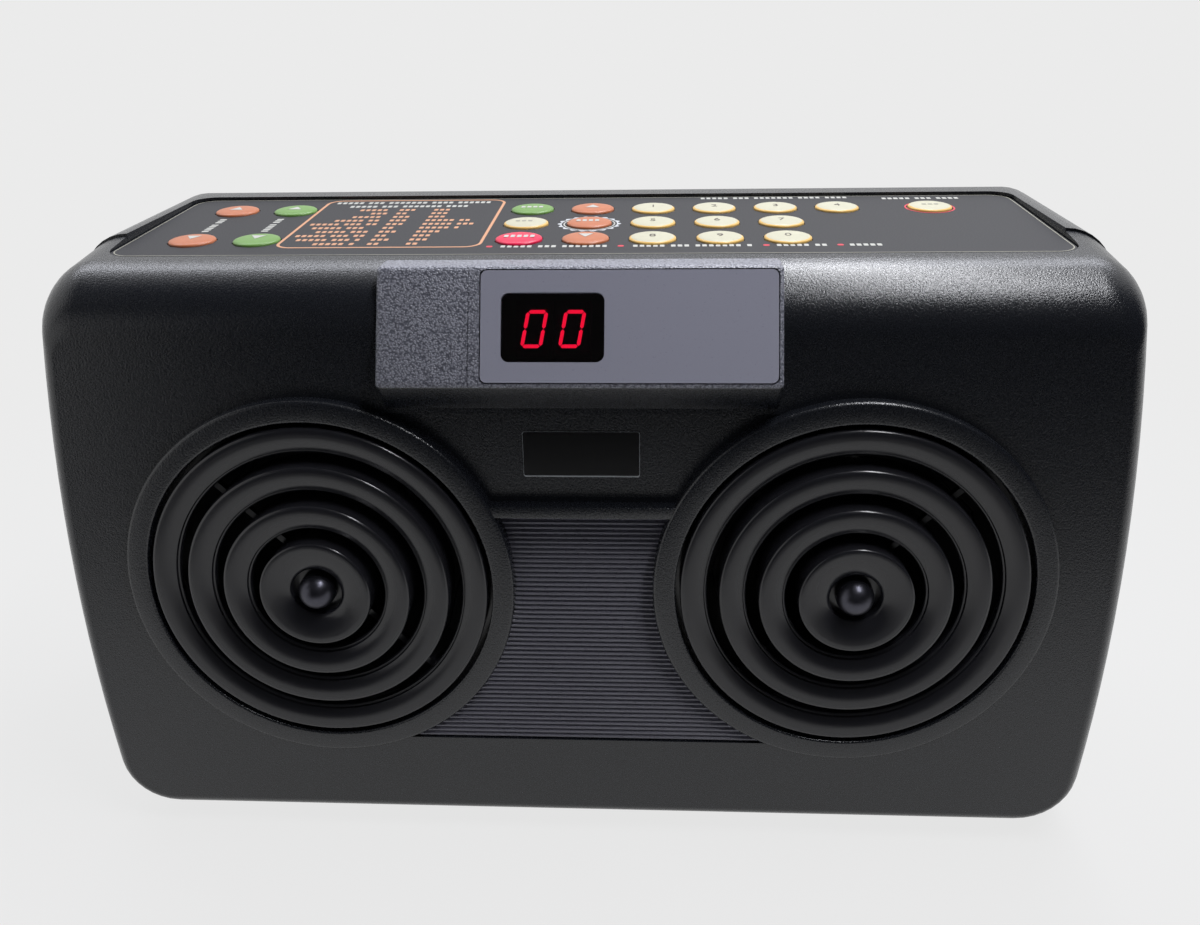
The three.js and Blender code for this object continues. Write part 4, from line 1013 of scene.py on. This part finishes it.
pitch = (RAMP_TOP - RAMP_BOTTOM) / RIBS
teeth = [(RAMP_TOP_DEPTH + BACKING, RAMP_TOP + TUCK), (RAMP_TOP_DEPTH, RAMP_TOP + TUCK)]
for i in range(RIBS):
    height = RAMP_TOP - i * pitch
    teeth += [(ramp_depth(height) - proud, height - pitch * down) for proud, down in TOOTH]
teeth += [(RAMP_BOTTOM_DEPTH, RAMP_BOTTOM),
          (RAMP_BOTTOM_DEPTH + BACKING, RAMP_BOTTOM - EDGE_TUCK)]
teeth.append(teeth[0])
ramp = pulled("ribbed_ramp", teeth, -COLUMN_HALF, COLUMN_HALF)
cut_level_bores(ramp)
lean_with_front(ramp)
dress(ramp, rib_painted_sheen_abs, replaces=["front_shell"], angle=20)

# %% [markdown]
# The field, the bar and the badge
#
# Above the ramp a bar crosses the column, and over it lies a plain recessed field with a small dark
# badge whose lower edge shines. All are plates, so they are made as such. The bar is the only one whose
# edges are softened, because it stands proud and its top edge catches the light. The shine is a
# second plate of silver ink behind the badge, a hair larger all round and reaching furthest below it,
# where it is a painted highlight of the badge's lower edge.

# %% Field, bar and badge
BAR_HALF = 24.4
BAR_ROUND = 0.5


def soften(piece, width_mm, segments=3, angle=40):
    apply_modifier(piece, "BEVEL", width=width_mm * MM, segments=segments, limit_method="ANGLE",
                   angle_limit=math.radians(angle), harden_normals=False)


field = rounded_slab("badge_field", (-COLUMN_HALF, COLUMN_HALF), (BAR_TOP - TUCK, FIELD_TOP + EDGE_TUCK),
                     (FIELD_DEPTH, FIELD_DEPTH + BACKING), 0.3, 1)
cut_level_bores(field)
lean_with_front(field)
dress(field, fine_grain_abs, replaces=["front_shell"])

bar = rounded_slab("cross_bar", (-BAR_HALF, BAR_HALF), (RAMP_TOP, BAR_TOP),
                   (0, RAMP_TOP_DEPTH + TUCK), 0.2, 1)
soften(bar, BAR_ROUND)
lean_with_front(bar)
dress(bar, fine_grain_abs, replaces=["front_shell"])

# The silver plate below the badge is a painted highlight of its lower edge.
for name, half, heights, proud, corner, material in (
        ("bare_badge", 14.5, (30.4, 42), 0.35, 0.5, badge_ink),
        ("badge_outline", 14.6, (30.0, 42.1), 0.2, 0.6, silver_ink)):
    plate = rounded_slab(name, (-half, half), heights, (FIELD_DEPTH - proud, FIELD_DEPTH + 0.1),
                         corner, 3)
    dress(lean_with_front(plate), material)

# %% [markdown]
# The display housing
#
# A block with a tilted face sits over the top front edge. It could be a cube that is sheared and
# cut, but its side view is already drawn, so it is pulled across and its edges get a small round,
# which is what shows its outline against the housing.

# %% Display housing
DISPLAY_ROUND = 1.2

hump = pulled("display_housing", hump_profile, -DISPLAY_HALF, DISPLAY_HALF)
soften(hump, DISPLAY_ROUND, segments=4, angle=20)
settle(hump, (0, 0, SPEAKER_HEIGHT))
print("display housing", [round(c / MM, 1) for c in hump.dimensions])

# %% [markdown]
# Cuts in the display housing
#
# The label lies in a shallow seat, the window over a deep well, and a fine groove runs beside the
# label. They could be insets of the tilted face, but its edges are rounded by now, so they are
# plates that are drawn level and leaned back with the face before they cut. The faces that look
# downwards get the housing's darker fine grain as painted shade, and the rest gets the leather one with
# its painted sheen.

# %% Label seat and window well
DISPLAY_LEAN = math.atan2(DISPLAY_TOP_DEPTH, DISPLAY_TOP - DISPLAY_FOOT)
DISPLAY_SLOPE = math.hypot(DISPLAY_TOP_DEPTH, DISPLAY_TOP - DISPLAY_FOOT)
LABEL = (-23.2, 47.2)
LABEL_MARGIN = 0.6
SEAT_DEPTH = 1.3
WINDOW = (-18.4, 6.3)
WINDOW_FOOT = 5.8
WINDOW_TALL = 16.6
WELL_MARGIN = 1.8
WELL_DEPTH = 11
GROOVE = (-26.5, -26.1)
GROOVE_DEPTH = 0.25
GROOVE_OVERRUN = 4
CUT_START = -4


def lean_with_display(piece):
    """Settles a piece that was drawn level, from the foot of the display's tilted face."""
    return settle(piece, (0, 0, SPEAKER_HEIGHT + DISPLAY_FOOT), DISPLAY_LEAN)


for name, across, up_face, depth, corner, steps in (
        ("label_seat", (LABEL[0] - GAP, LABEL[1] + GAP),
         (LABEL_MARGIN, DISPLAY_SLOPE - LABEL_MARGIN), SEAT_DEPTH, 1.6, 4),
        ("window_well", (WINDOW[0] - WELL_MARGIN, WINDOW[1] + WELL_MARGIN),
         (WINDOW_FOOT - WELL_MARGIN, WINDOW_FOOT + WINDOW_TALL + WELL_MARGIN), WELL_DEPTH, 2, 4),
        ("label_groove", GROOVE, (-GROOVE_OVERRUN, DISPLAY_SLOPE + GROOVE_OVERRUN), GROOVE_DEPTH,
         0.1, 1)):
    cutter = rounded_slab(name, across, up_face, (CUT_START, depth), corner, steps)
    carve(hump, lean_with_display(cutter))
dress(hump, leather_painted_sheen_abs, replaces=["front_shell"])
# Painted shade: faces that look downwards take the darker housing finish instead of the leather's
# painted sheen.
second_finish(hump, fine_grain_abs, lambda face: face.normal.z < -0.3)

# %% [markdown]
# The digits
#
# A seven-segment digit has seven pointed bars, slanted ten degrees. The segments could be a pattern
# on the module's face, but as thin bars they keep their points sharp behind the window. Each starts
# as a plane whose corners are bevelled until its ends are points. The two digits show naughts, so
# the middle bar stays dark and isn't made.

# %% Seven-segment digits
DIGIT_HEIGHT = 9.14
DIGIT_WIDTH = 4.4
DIGIT_PITCH = 9.1
BAR_WIDTH = 0.85
BAR_SPACE = 0.25
POINT_SHARE, END_SHARE = 0.46, 0.4
SLANT = math.tan(math.radians(10))
SEGMENT_FACE = 2.78
SEGMENT_BACK = 3.0
WINDOW_MIDDLE = WINDOW_FOOT + WINDOW_TALL / 2


def segment(across, height, wide, tall):
    return rounded_slab("segment", (across - wide / 2, across + wide / 2),
                        (height - tall / 2, height + tall / 2), (SEGMENT_FACE, SEGMENT_BACK),
                        BAR_WIDTH * POINT_SHARE, 1)


def digit(name, middle):
    half_w, half_h = DIGIT_WIDTH / 2, (DIGIT_HEIGHT - BAR_WIDTH) / 2
    along, upright = DIGIT_WIDTH - BAR_WIDTH * END_SHARE, half_h - BAR_SPACE
    bars = [segment(middle, WINDOW_MIDDLE + rise * half_h, along, BAR_WIDTH) for rise in (-1, 1)]
    for side in (-1, 1):
        for rise in (-1, 1):
            bars.append(segment(middle + side * half_w, WINDOW_MIDDLE + rise * half_h / 2,
                                BAR_WIDTH, upright))
    lit = join_pieces(name, bars)
    for vertex in lit.data.vertices:
        vertex.co.x += SLANT * (vertex.co.z - WINDOW_MIDDLE * MM)
    return lit


for name, side in SIDES.items():
    middle = (WINDOW[0] + WINDOW[1]) / 2 + side * DIGIT_PITCH / 2
    lit = lean_with_display(digit(f"lit_digit_{name}", middle))
    dress(lit, lit_segment)

# %% [markdown]
# The keys
#
# A key is a low dome with a rounded edge on a stem that reaches down to its switch. It could be a
# squashed sphere, but its edge is fuller than a sphere's, so the section is written and spun. The
# powers of the sine and the cosine, both under one, give it that fullness. It is spun round Y, as
# every section here, and then stood up.

# %% The shape of a key
CAP_RADIUS = 6.14
CAP_EDGE = PANEL_HEIGHT + 0.1
DOME_HEIGHT = 0.88
DOME_STEPS = 8
EDGE_POWER, CROWN_POWER = 0.5, 0.8
STEM_RADIUS, STEM_FOOT = 2.1, 153.75


def key_section():
    points = [(0, STEM_FOOT), (STEM_RADIUS, STEM_FOOT), (6.0, PANEL_HEIGHT - 1.6),
              (CAP_RADIUS, PANEL_HEIGHT - 1.4), (CAP_RADIUS, CAP_EDGE)]
    for i in range(1, DOME_STEPS):
        angle = i / DOME_STEPS * math.pi / 2
        points.append((CAP_RADIUS * math.cos(angle) ** EDGE_POWER,
                       CAP_EDGE + DOME_HEIGHT * math.sin(angle) ** CROWN_POWER))
    return points + [(0, CAP_EDGE + DOME_HEIGHT)]


def stand_up(piece):
    """Turns a mesh that was spun round Y so that it stands on Z."""
    for vertex in piece.data.vertices:
        vertex.co.y, vertex.co.z = -vertex.co.z, vertex.co.y
    return piece


master = stand_up(turned("key_master", key_section(), 48))
print("a key is", 2 * CAP_RADIUS, "mm across")

# %% [markdown]
# The grid of keys
#
# One key is modelled and then copied to each place of the grid. The copies could share one mesh, but
# each has its place in its mesh and a finish of its own, so every copy gets its own mesh. Cream keys
# have an amber edge, so the faces of their rim get a second finish.

# %% Keys
AMBER_FROM = 5.7
KEY_COLOURS = {
    "level_up_key": "orange", "level_down_key": "orange", "pitch_up_key": "green",
    "pitch_down_key": "green", "play_key": "green", "stop_key": "red",
    "tempo_up_key": "orange", "select_key": "orange", "tempo_down_key": "orange"}
key_names = sorted(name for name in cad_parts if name.endswith("_key"))


def node_middle(name, height_mm=0):
    """The middle of a CAD node seen from above, at a height of its own."""
    low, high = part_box(name)
    return Vector(((low[0] + high[0]) / 2, (low[1] + high[1]) / 2, height_mm * MM))


for name in key_names:
    key = master.copy()
    key.data = master.data.copy()
    key.name = name.replace("_key", "_cap")
    bpy.context.scene.collection.objects.link(key)
    key.location = middle = node_middle(name)
    bake_place(key)
    colour = KEY_COLOURS.get(name, "cream")
    dress(key, key_finishes[colour], body=f"{name}_body", replaces=[name])
    if colour == "cream":
        second_finish(key, amber_edge, lambda face: math.hypot(
            face.center.x - middle.x, face.center.y - middle.y) > AMBER_FROM * MM)
bpy.data.objects.remove(master)
print("keys", len(key_names))

# %% [markdown]
# Numerals and arrows
#
# Number keys carry their numeral, and the keys in pairs an arrow up or down. They could be an image
# on the caps, but as pieces of a few hundredths of a millimetre they stay sharp. A numeral is a text
# object that is made a mesh before it is placed, because a text's place can't be put into it, and an
# arrow is a circle of three corners.

# %% Numerals and arrows
MARK_THICKNESS = 0.03
ARROW_RADIUS = 2.3


def flat_mark(piece, name, centre, material, body="housing"):
    """Lays a flat mesh, made round the origin, on a key or on the film."""
    piece.name = name
    piece.location = centre
    dress(bake_place(piece), material, body=body)


def numeral(text, size_mm):
    clear_selection()
    bpy.ops.object.text_add()
    words = bpy.context.object
    words.data.body = text
    words.data.size = size_mm * MM
    words.data.extrude = MARK_THICKNESS / 2 * MM
    words.data.align_x = "CENTER"
    words.data.align_y = "CENTER"
    bpy.ops.object.convert(target="MESH")
    return bpy.context.object


def arrow(pointing_back):
    clear_selection()
    bpy.ops.mesh.primitive_circle_add(vertices=3, radius=ARROW_RADIUS * MM, fill_type="NGON")
    start_edit("arrow")
    if not pointing_back:
        bpy.ops.transform.resize(value=(1, -1, 1))
    step = (0, 0, MARK_THICKNESS * MM)
    bpy.ops.mesh.extrude_region_move(TRANSFORM_OT_translate={"value": step})
    return close_mesh()


print("marks are", MARK_THICKNESS, "mm thick")

# %% [markdown]
# Rows of strokes
#
# Captions are rows of plain strokes, grouped as words are. A row could be one long bar, but strokes
# let the film show between them, which gives the row the tone of print. The groups have 5, 3, 7, 4
# and 6 strokes in turn, so that no rhythm stands out.

# %% Rows of strokes
STROKE_WIDTH = 1.15
STROKE_SPACE = 0.55
STROKE_CORNER = 0.2
GROUP_SPACE = 1.1
GROUPS = (5, 3, 7, 4, 6)


def stroke_row(start, end, middle, tall, width=STROKE_WIDTH, space=STROKE_SPACE):
    """Upright strokes from one x to another, a wider space after each group."""
    strokes, across, count, group = [], start, 0, 0
    while across + width <= end:
        strokes.append(rounded_plate("stroke", (across, across + width),
                                     (middle - tall / 2, middle + tall / 2),
                                     (0, MARK_THICKNESS), STROKE_CORNER, 2))
        across += width + space
        count += 1
        if count == GROUPS[group % len(GROUPS)]:
            across += GROUP_SPACE
            count, group = 0, group + 1
    return strokes


print("strokes are", STROKE_WIDTH, "mm wide")

# %% [markdown]
# Marks on the keys
#
# They lie on the crowns of the domes, and each rides the body of its own key, so that it goes down
# with it when the key is pressed. They could be laid on the curved dome, but the crown is level
# enough under them for a flat mark to look printed.

# %% Marks on the keys
CROWN = PANEL_HEIGHT + 1
NUMERAL_SIZE = 3.8
ROW_SLACK = 0.5
NUMERALS = {f"number_{n}_key": str(n) for n in range(10)}
KEY_ROWS = {"play_key": (white_ink, 6.4, 2.0), "stop_key": (white_ink, 7.6, 2.4),
            "select_key": (white_ink, 7.0, 2.0), "memory_key": (grey_ink, 5.6, 1.3),
            "tuning_key": (grey_ink, 4.6, 1.3)}
for name in key_names:
    centre, body = node_middle(name, CROWN), f"{name}_body"
    if name in NUMERALS:
        number = NUMERALS[name]
        flat_mark(numeral(number, NUMERAL_SIZE), f"numeral_{number}", centre, dark_ink, body)
    elif "_up_" in name or "_down_" in name:
        flat_mark(arrow("_up_" in name), name.replace("_key", "_arrow"), centre, white_ink, body)
    elif name in KEY_ROWS:
        material, width, tall = KEY_ROWS[name]
        row = join_pieces("row", stroke_row(-width / 2, width / 2 + ROW_SLACK, 0, tall))
        flat_mark(row, name.replace("_key", "_marks"), centre, material, body)

# %% [markdown]
# Printed frames
#
# The film has a copper frame round a table. A hair-thin grey line along the film's own edge is a
# painted highlight, where the light catches the cut. A frame could be a curve with a thickness, but
# that gives a round wire and print is flat, so a plate with rounded corners is cut out of a slightly
# larger one.

# %% Printed frames
def printed_frame(name, box, line, corner, material):
    """A line round a box of (x from, x to, y from, y to), with its corners rounded."""
    outer = rounded_plate(name, box[:2], box[2:], (PANEL_HEIGHT, PANEL_HEIGHT + MARK_THICKNESS),
                          corner, 8)
    inner = rounded_plate("inside", (box[0] + line, box[1] - line), (box[2] + line, box[3] - line),
                          (PANEL_HEIGHT - 1, PANEL_HEIGHT + 1), corner - line, 8)
    carve(outer, inner)
    dress(settle(outer), material)


printed_frame("table_frame", (-80.6, -26.6, 33.6, 89.6), 0.8, 4.5, copper_ink)
# A painted highlight in grey ink, where the light catches the film's cut edge.
printed_frame("film_edge_painted_highlight", (-121.2, 121.2, 26.7, 90.9), 0.3, 5.6, grey_ink)

# %% [markdown]
# The printed table
#
# Inside the frame stand three columns of short copper strokes under two white header rows. Rows of
# one length would look like a grid, so each row's reach is typed, and the columns get the ragged
# edges that a real table has.

# %% Printed table
def print_rows(name, rows, material):
    """rows: (start, end, middle, tall) of each row of strokes on the film."""
    strokes = [stroke for row in rows for stroke in stroke_row(*row)]
    dress(settle(join_pieces(name, strokes), (0, 0, PANEL_HEIGHT)), material)


TABLE_BACK = 76.5
TABLE_PITCH = 4.33
TABLE_TALL = 2.1
FIRST_END, SECOND_START, THIRD_START = -59.3, -56.6, -46.4
FIRST_STARTS = (-68.2, -64.0, -68.3, -72.2, -78.0, -76.2, -73.9, -78.2, -76.7, -71.0)
SECOND_ENDS = (-50.9, -52.6, -50.9, -51.4, -51.0, -52.5, -51.5, -52.6, -51.2, -52.8)
THIRD_ENDS = (-40.2, -41.3, -40.8, -33.5, -31.9, -34.3, -39.0, -41.0, -40.8, -42.6)
table_rows = []
for i, (first, second, third) in enumerate(zip(FIRST_STARTS, SECOND_ENDS, THIRD_ENDS)):
    middle = TABLE_BACK - i * TABLE_PITCH
    table_rows += [(start, end, middle, TABLE_TALL) for start, end in (
        (first, FIRST_END), (SECOND_START, second), (THIRD_START, third))]
print_rows("table_strokes", table_rows, copper_ink)
print_rows("header_strokes", [(-77.6, -29, 86.1, 2.3), (-72.4, -35, 81.2, 2.3)], white_ink)

# %% [markdown]
# Captions
#
# White captions run along the front and back edges of the film, with red dots between them, and up
# the film between the keys of the two left pairs. Each could be one long row, but the dots and the
# gaps fall between its parts, so every part has a start and an end. The two upright ones are drawn
# lying, as the others are, and turned before they are placed.

# %% Captions
FOOTER, FOOTER_TALL = 34.2, 2.0
DOT_RADIUS = 0.8
CAPTION_MIDDLE = 59.4
CAPTION_HALF, CAPTION_TALL = 8, 1.9

print_rows("footer_strokes", [(start, end, FOOTER, FOOTER_TALL) for start, end in (
    (-21.3, 6.2), (12.5, 43.6), (48.7, 62.4), (66.9, 75.6))], white_ink)
print_rows("heading_strokes", [(31.5, 75.8, 89.0, 2.0), (84.5, 107.9, 87.2, 2.0)], white_ink)
dots = [rounded_plate("dot", (across - DOT_RADIUS, across + DOT_RADIUS),
                      (FOOTER - DOT_RADIUS, FOOTER + DOT_RADIUS), (0, MARK_THICKNESS), 0.6, 4)
        for across in (-24.2, 9.4, 46.1, 64.6)]
dress(settle(join_pieces("caption_dots", dots), (0, 0, PANEL_HEIGHT)), red_ink)
for name, across in (("level", -105.2), ("pitch", -88.6)):
    strokes = stroke_row(-CAPTION_HALF, CAPTION_HALF, 0, CAPTION_TALL, width=1.2, space=0.6)
    row = join_pieces("row", strokes)
    row.rotation_euler.z = math.pi / 2
    centre = Vector((across * MM, GRILLE_Y + CAPTION_MIDDLE * MM, PANEL_HEIGHT * MM))
    flat_mark(row, f"{name}_caption", centre, white_ink)

# %% [markdown]
# Rings round the keys
#
# The middle key has a thin white ring and a scalloped silver one round it, and the tuning key a red
# one. A ring is a turned band. The scallops could be eighteen small arcs, but they are one wave, so
# the outer edge of the spun band is pulled in and out as a cosine.

# %% Rings round the keys
SCALLOP_DEPTH = 0.055


def flat_ring(name, key_name, inner, outer, material, scallops=0):
    ring = stand_up(turned(name, [(inner, 0), (outer, 0), (outer, MARK_THICKNESS),
                                  (inner, MARK_THICKNESS), (inner, 0)], 144))
    for vertex in ring.data.vertices if scallops else ():
        x, y = vertex.co.x, vertex.co.y
        if math.hypot(x, y) > (inner + outer) / 2 * MM:
            wave = 1 + SCALLOP_DEPTH * math.cos(scallops * math.atan2(y, x))
            vertex.co.x, vertex.co.y = x * wave, y * wave
    flat_mark(ring, name, node_middle(key_name, PANEL_HEIGHT), material)


flat_ring("thin_ring", "select_key", 6.75, 7.1, white_ink)
flat_ring("scalloped_ring", "select_key", 7.6, 8.3, silver_ink, 18)
flat_ring("tuning_ring", "tuning_key", 6.5, 6.95, red_ink)

# %% [markdown]
# The feet
#
# Four tapered rubber pads, each with a stub that is pressed into a hole in the bottom. The CAD ones
# are faceted. A Subdivision Surface would round them but pull in the flat sole, so each is spun from
# its section. The sole lies 0.02 mm above the table, clear of it.

# %% Feet
FOOT_SECTION = [(0, 0.02), (6.4, 0.02), *round_corner((6.5, 0.6), 0.5, 270, 60), (7.9, 2.7),
                (2.3, 2.7), (2.3, 6), (0, 6)]
for name in ("front_foot_left", "front_foot_right", "rear_foot_left", "rear_foot_right"):
    foot = stand_up(turned(f"{name}_pad", FOOT_SECTION, 48))
    foot.location = node_middle(name)
    dress(bake_place(foot), foot_rubber, replaces=[name])

# %% [markdown]
# Finishes for the CAD nodes
#
# The other pieces, such as boards, baskets, sockets and screws, could be rounded like the rest, but
# they hardly show, and their CAD shape is enough. They keep it and take the finish of what they are
# made of, found by the start of the name.

# %% Finishes for the CAD nodes
node_finishes = {
    "key_panel": satin_abs, "panel_overlay": panel_film, "keypad_board": board_green,
    "display_label": label_film, "display_window": smoked_acrylic, "display_board": board_green,
    "display_digit": module_epoxy, "speaker_frame": pressed_steel, "speaker_magnet": ferrite,
    "speaker_cone": cone_paper, "speaker_surround": foam_edge, "main_board": board_brown,
    "power_transformer": lamination_steel, "mains_inlet": satin_abs, "power_switch": satin_abs,
    "line_socket": nickel, "housing_screw": nickel}
for name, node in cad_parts.items():
    for start, material in node_finishes.items():
        if name.startswith(start):
            node.data.materials.clear()
            node.data.materials.append(material)
print("finished", len(node_finishes), "kinds of node")

# %% [markdown]
# The floor
#
# The photograph's ground is one pale tone with no horizon. More light would whiten a plain floor but
# also the object, so the floor's paint shows its own pale colour to the camera, in reflections and
# through the window, and acts as matt paint for all other light. Near the object a part of the real
# paint is mixed in, which keeps its soft shadow.

# %% Floor
PALE = "#ebebeb"
FLOOR_SIZE = 8
SHADOW_FROM, SHADOW_TO = 0.15, 0.45
SHADOW_MIX = 0.92


def staged_plane(name, size_m, middle, turn=(0, 0, 0)):
    clear_selection()
    bpy.ops.mesh.primitive_plane_add(size=1)
    plane = bpy.context.object
    plane.name = name
    plane.scale = (size_m[0], size_m[1], 1)
    plane.location = middle
    plane.rotation_euler = turn
    bpy.ops.object.transform_apply(location=True, rotation=True, scale=True)
    return plane


def background_rays(tree):
    """One for rays from the camera, a mirror or glass, nought for the light on the object."""
    path = add_node(tree, "ShaderNodeLightPath")
    direct = add_node(tree, "ShaderNodeMath",
                      {0: path.outputs["Is Camera Ray"], 1: path.outputs["Is Glossy Ray"]},
                      operation="ADD")
    seen = add_node(tree, "ShaderNodeMath",
                    {0: direct.outputs[0], 1: path.outputs["Is Transmission Ray"]},
                    operation="MAXIMUM")
    return seen.outputs[0]


floor = staged_plane("floor", (FLOOR_SIZE, FLOOR_SIZE), (0, 0, 0))
floor_paint, shader, tree = new_material("floor_paint", PALE, 0.9)
place_node = add_node(tree, "ShaderNodeTexCoord")
reach = add_node(tree, "ShaderNodeVectorMath", {0: place_node.outputs["Object"]}, operation="LENGTH")
far = add_node(tree, "ShaderNodeMapRange",
               {"Value": reach.outputs["Value"], "From Min": SHADOW_FROM, "From Max": SHADOW_TO,
                "To Min": SHADOW_MIX, "To Max": 1.0})
share = add_node(tree, "ShaderNodeMath", {0: background_rays(tree), 1: far.outputs["Result"]},
                 operation="MULTIPLY")
plain = add_node(tree, "ShaderNodeEmission", {"Color": linear(PALE), "Strength": 1.0})
mixed = add_node(tree, "ShaderNodeMixShader",
                 {0: share.outputs[0], 1: shader.outputs[0], 2: plain.outputs[0]})
tree.links.new(mixed.outputs[0], tree.nodes["Material Output"].inputs["Surface"])
floor.data.materials.append(floor_paint)
print("floor", FLOOR_SIZE, "m wide")

# %% [markdown]
# Dark cards
#
# Glossy black plastic mirrors the room, so a photographer puts dark cards and a hood where a
# reflection would wash it out. Here one stands behind the camera and one to its left, one
# stands to the right of the object, a cloth lies on the floor in front and a hood hangs above. The
# lower front still mirrors the pale floor, as in the photograph. One black room would do too, but
# the front would then lose that glow. The camera doesn't see the cards, and the cloth throws no
# shadow.

# %% Dark cards
board_paint = grained("dark_board_paint", "#0c0c0d", 0.9, 5.0, 0.05, 0)
UPRIGHT = (math.pi / 2, 0, 0)
SIDEWAYS = (math.pi / 2, 0, math.pi / 2)
LYING = (0, 0, 0)
CARDS = {
    "dark_board": ((1.6, 0.8), (0.5, -0.34, 0.41), UPRIGHT),
    "dark_cloth": ((1.6, 0.08), (0.47, -0.3, 0.002), LYING),
    "dark_side_board": ((0.4, 0.46), (-0.5, -0.34, 0.58), UPRIGHT),
    "dark_right_board": ((0.6, 0.6), (0.8, -0.04, 0.31), SIDEWAYS),
    "dark_hood": ((1.8, 0.36), (0.2, -0.16, 0.81), LYING),
}
for name, (size_m, middle, turn) in CARDS.items():
    card = staged_plane(name, size_m, middle, turn)
    card.data.materials.append(board_paint)
    card.visible_camera = False
    card.visible_shadow = name != "dark_cloth"
print("cards", list(CARDS))

# %% [markdown]
# Lamps
#
# Two long soft lamps, as strip lights with a diffuser are. The one above and behind draws the broad
# highlight along the rounded top edge, and the narrow one overhead and to the right draws the thin
# arcs on the louvres' lips. A single large lamp would give both but also grey the whole front.

# %% Lamps
def soft_lamp(name, place_m, aim_m, size_m, watts, colour):
    data = bpy.data.lights.new(name, "AREA")
    data.color = colour
    data.shape = "RECTANGLE"
    data.size, data.size_y = size_m
    data.energy = watts
    lamp = bpy.data.objects.new(name, data)
    bpy.context.scene.collection.objects.link(lamp)
    lamp.location = place_m
    lamp.rotation_euler = (Vector(aim_m) - Vector(place_m)).to_track_quat("-Z", "Y").to_euler()
    print(name, watts, "W")


soft_lamp("back_lamp", (-0.05, 0.62, 0.98), (0, 0, 0.12), (1.8, 0.2), 9.5, (0.9, 0.92, 1))
soft_lamp("over_lamp", (0.22, 0.02, 0.74), (0, -0.03, 0.1), (0.8, 0.07), 6.2, (0.95, 0.96, 1))

# %% [markdown]
# The world
#
# A dim, slightly cool world fills the shadows, as light from the walls of a room does. Walls could
# be built, but they would cost render time and add nothing but this one tone. The world shows the
# floor's pale colour to the camera and in reflections, so that floor and background are one.

# %% World
FILL = (0.31, 0.32, 0.34, 1)

world = bpy.data.worlds.new("studio")
bpy.context.scene.world = world
world.use_nodes = True
tree = world.node_tree
shown = add_node(tree, "ShaderNodeMix", {0: background_rays(tree), 6: FILL, 7: linear(PALE)},
                 data_type="RGBA")
tree.links.new(shown.outputs[2], tree.nodes["Background"].inputs["Color"])
bpy.context.scene.view_settings.view_transform = "Standard"
print("fill", FILL[:3])
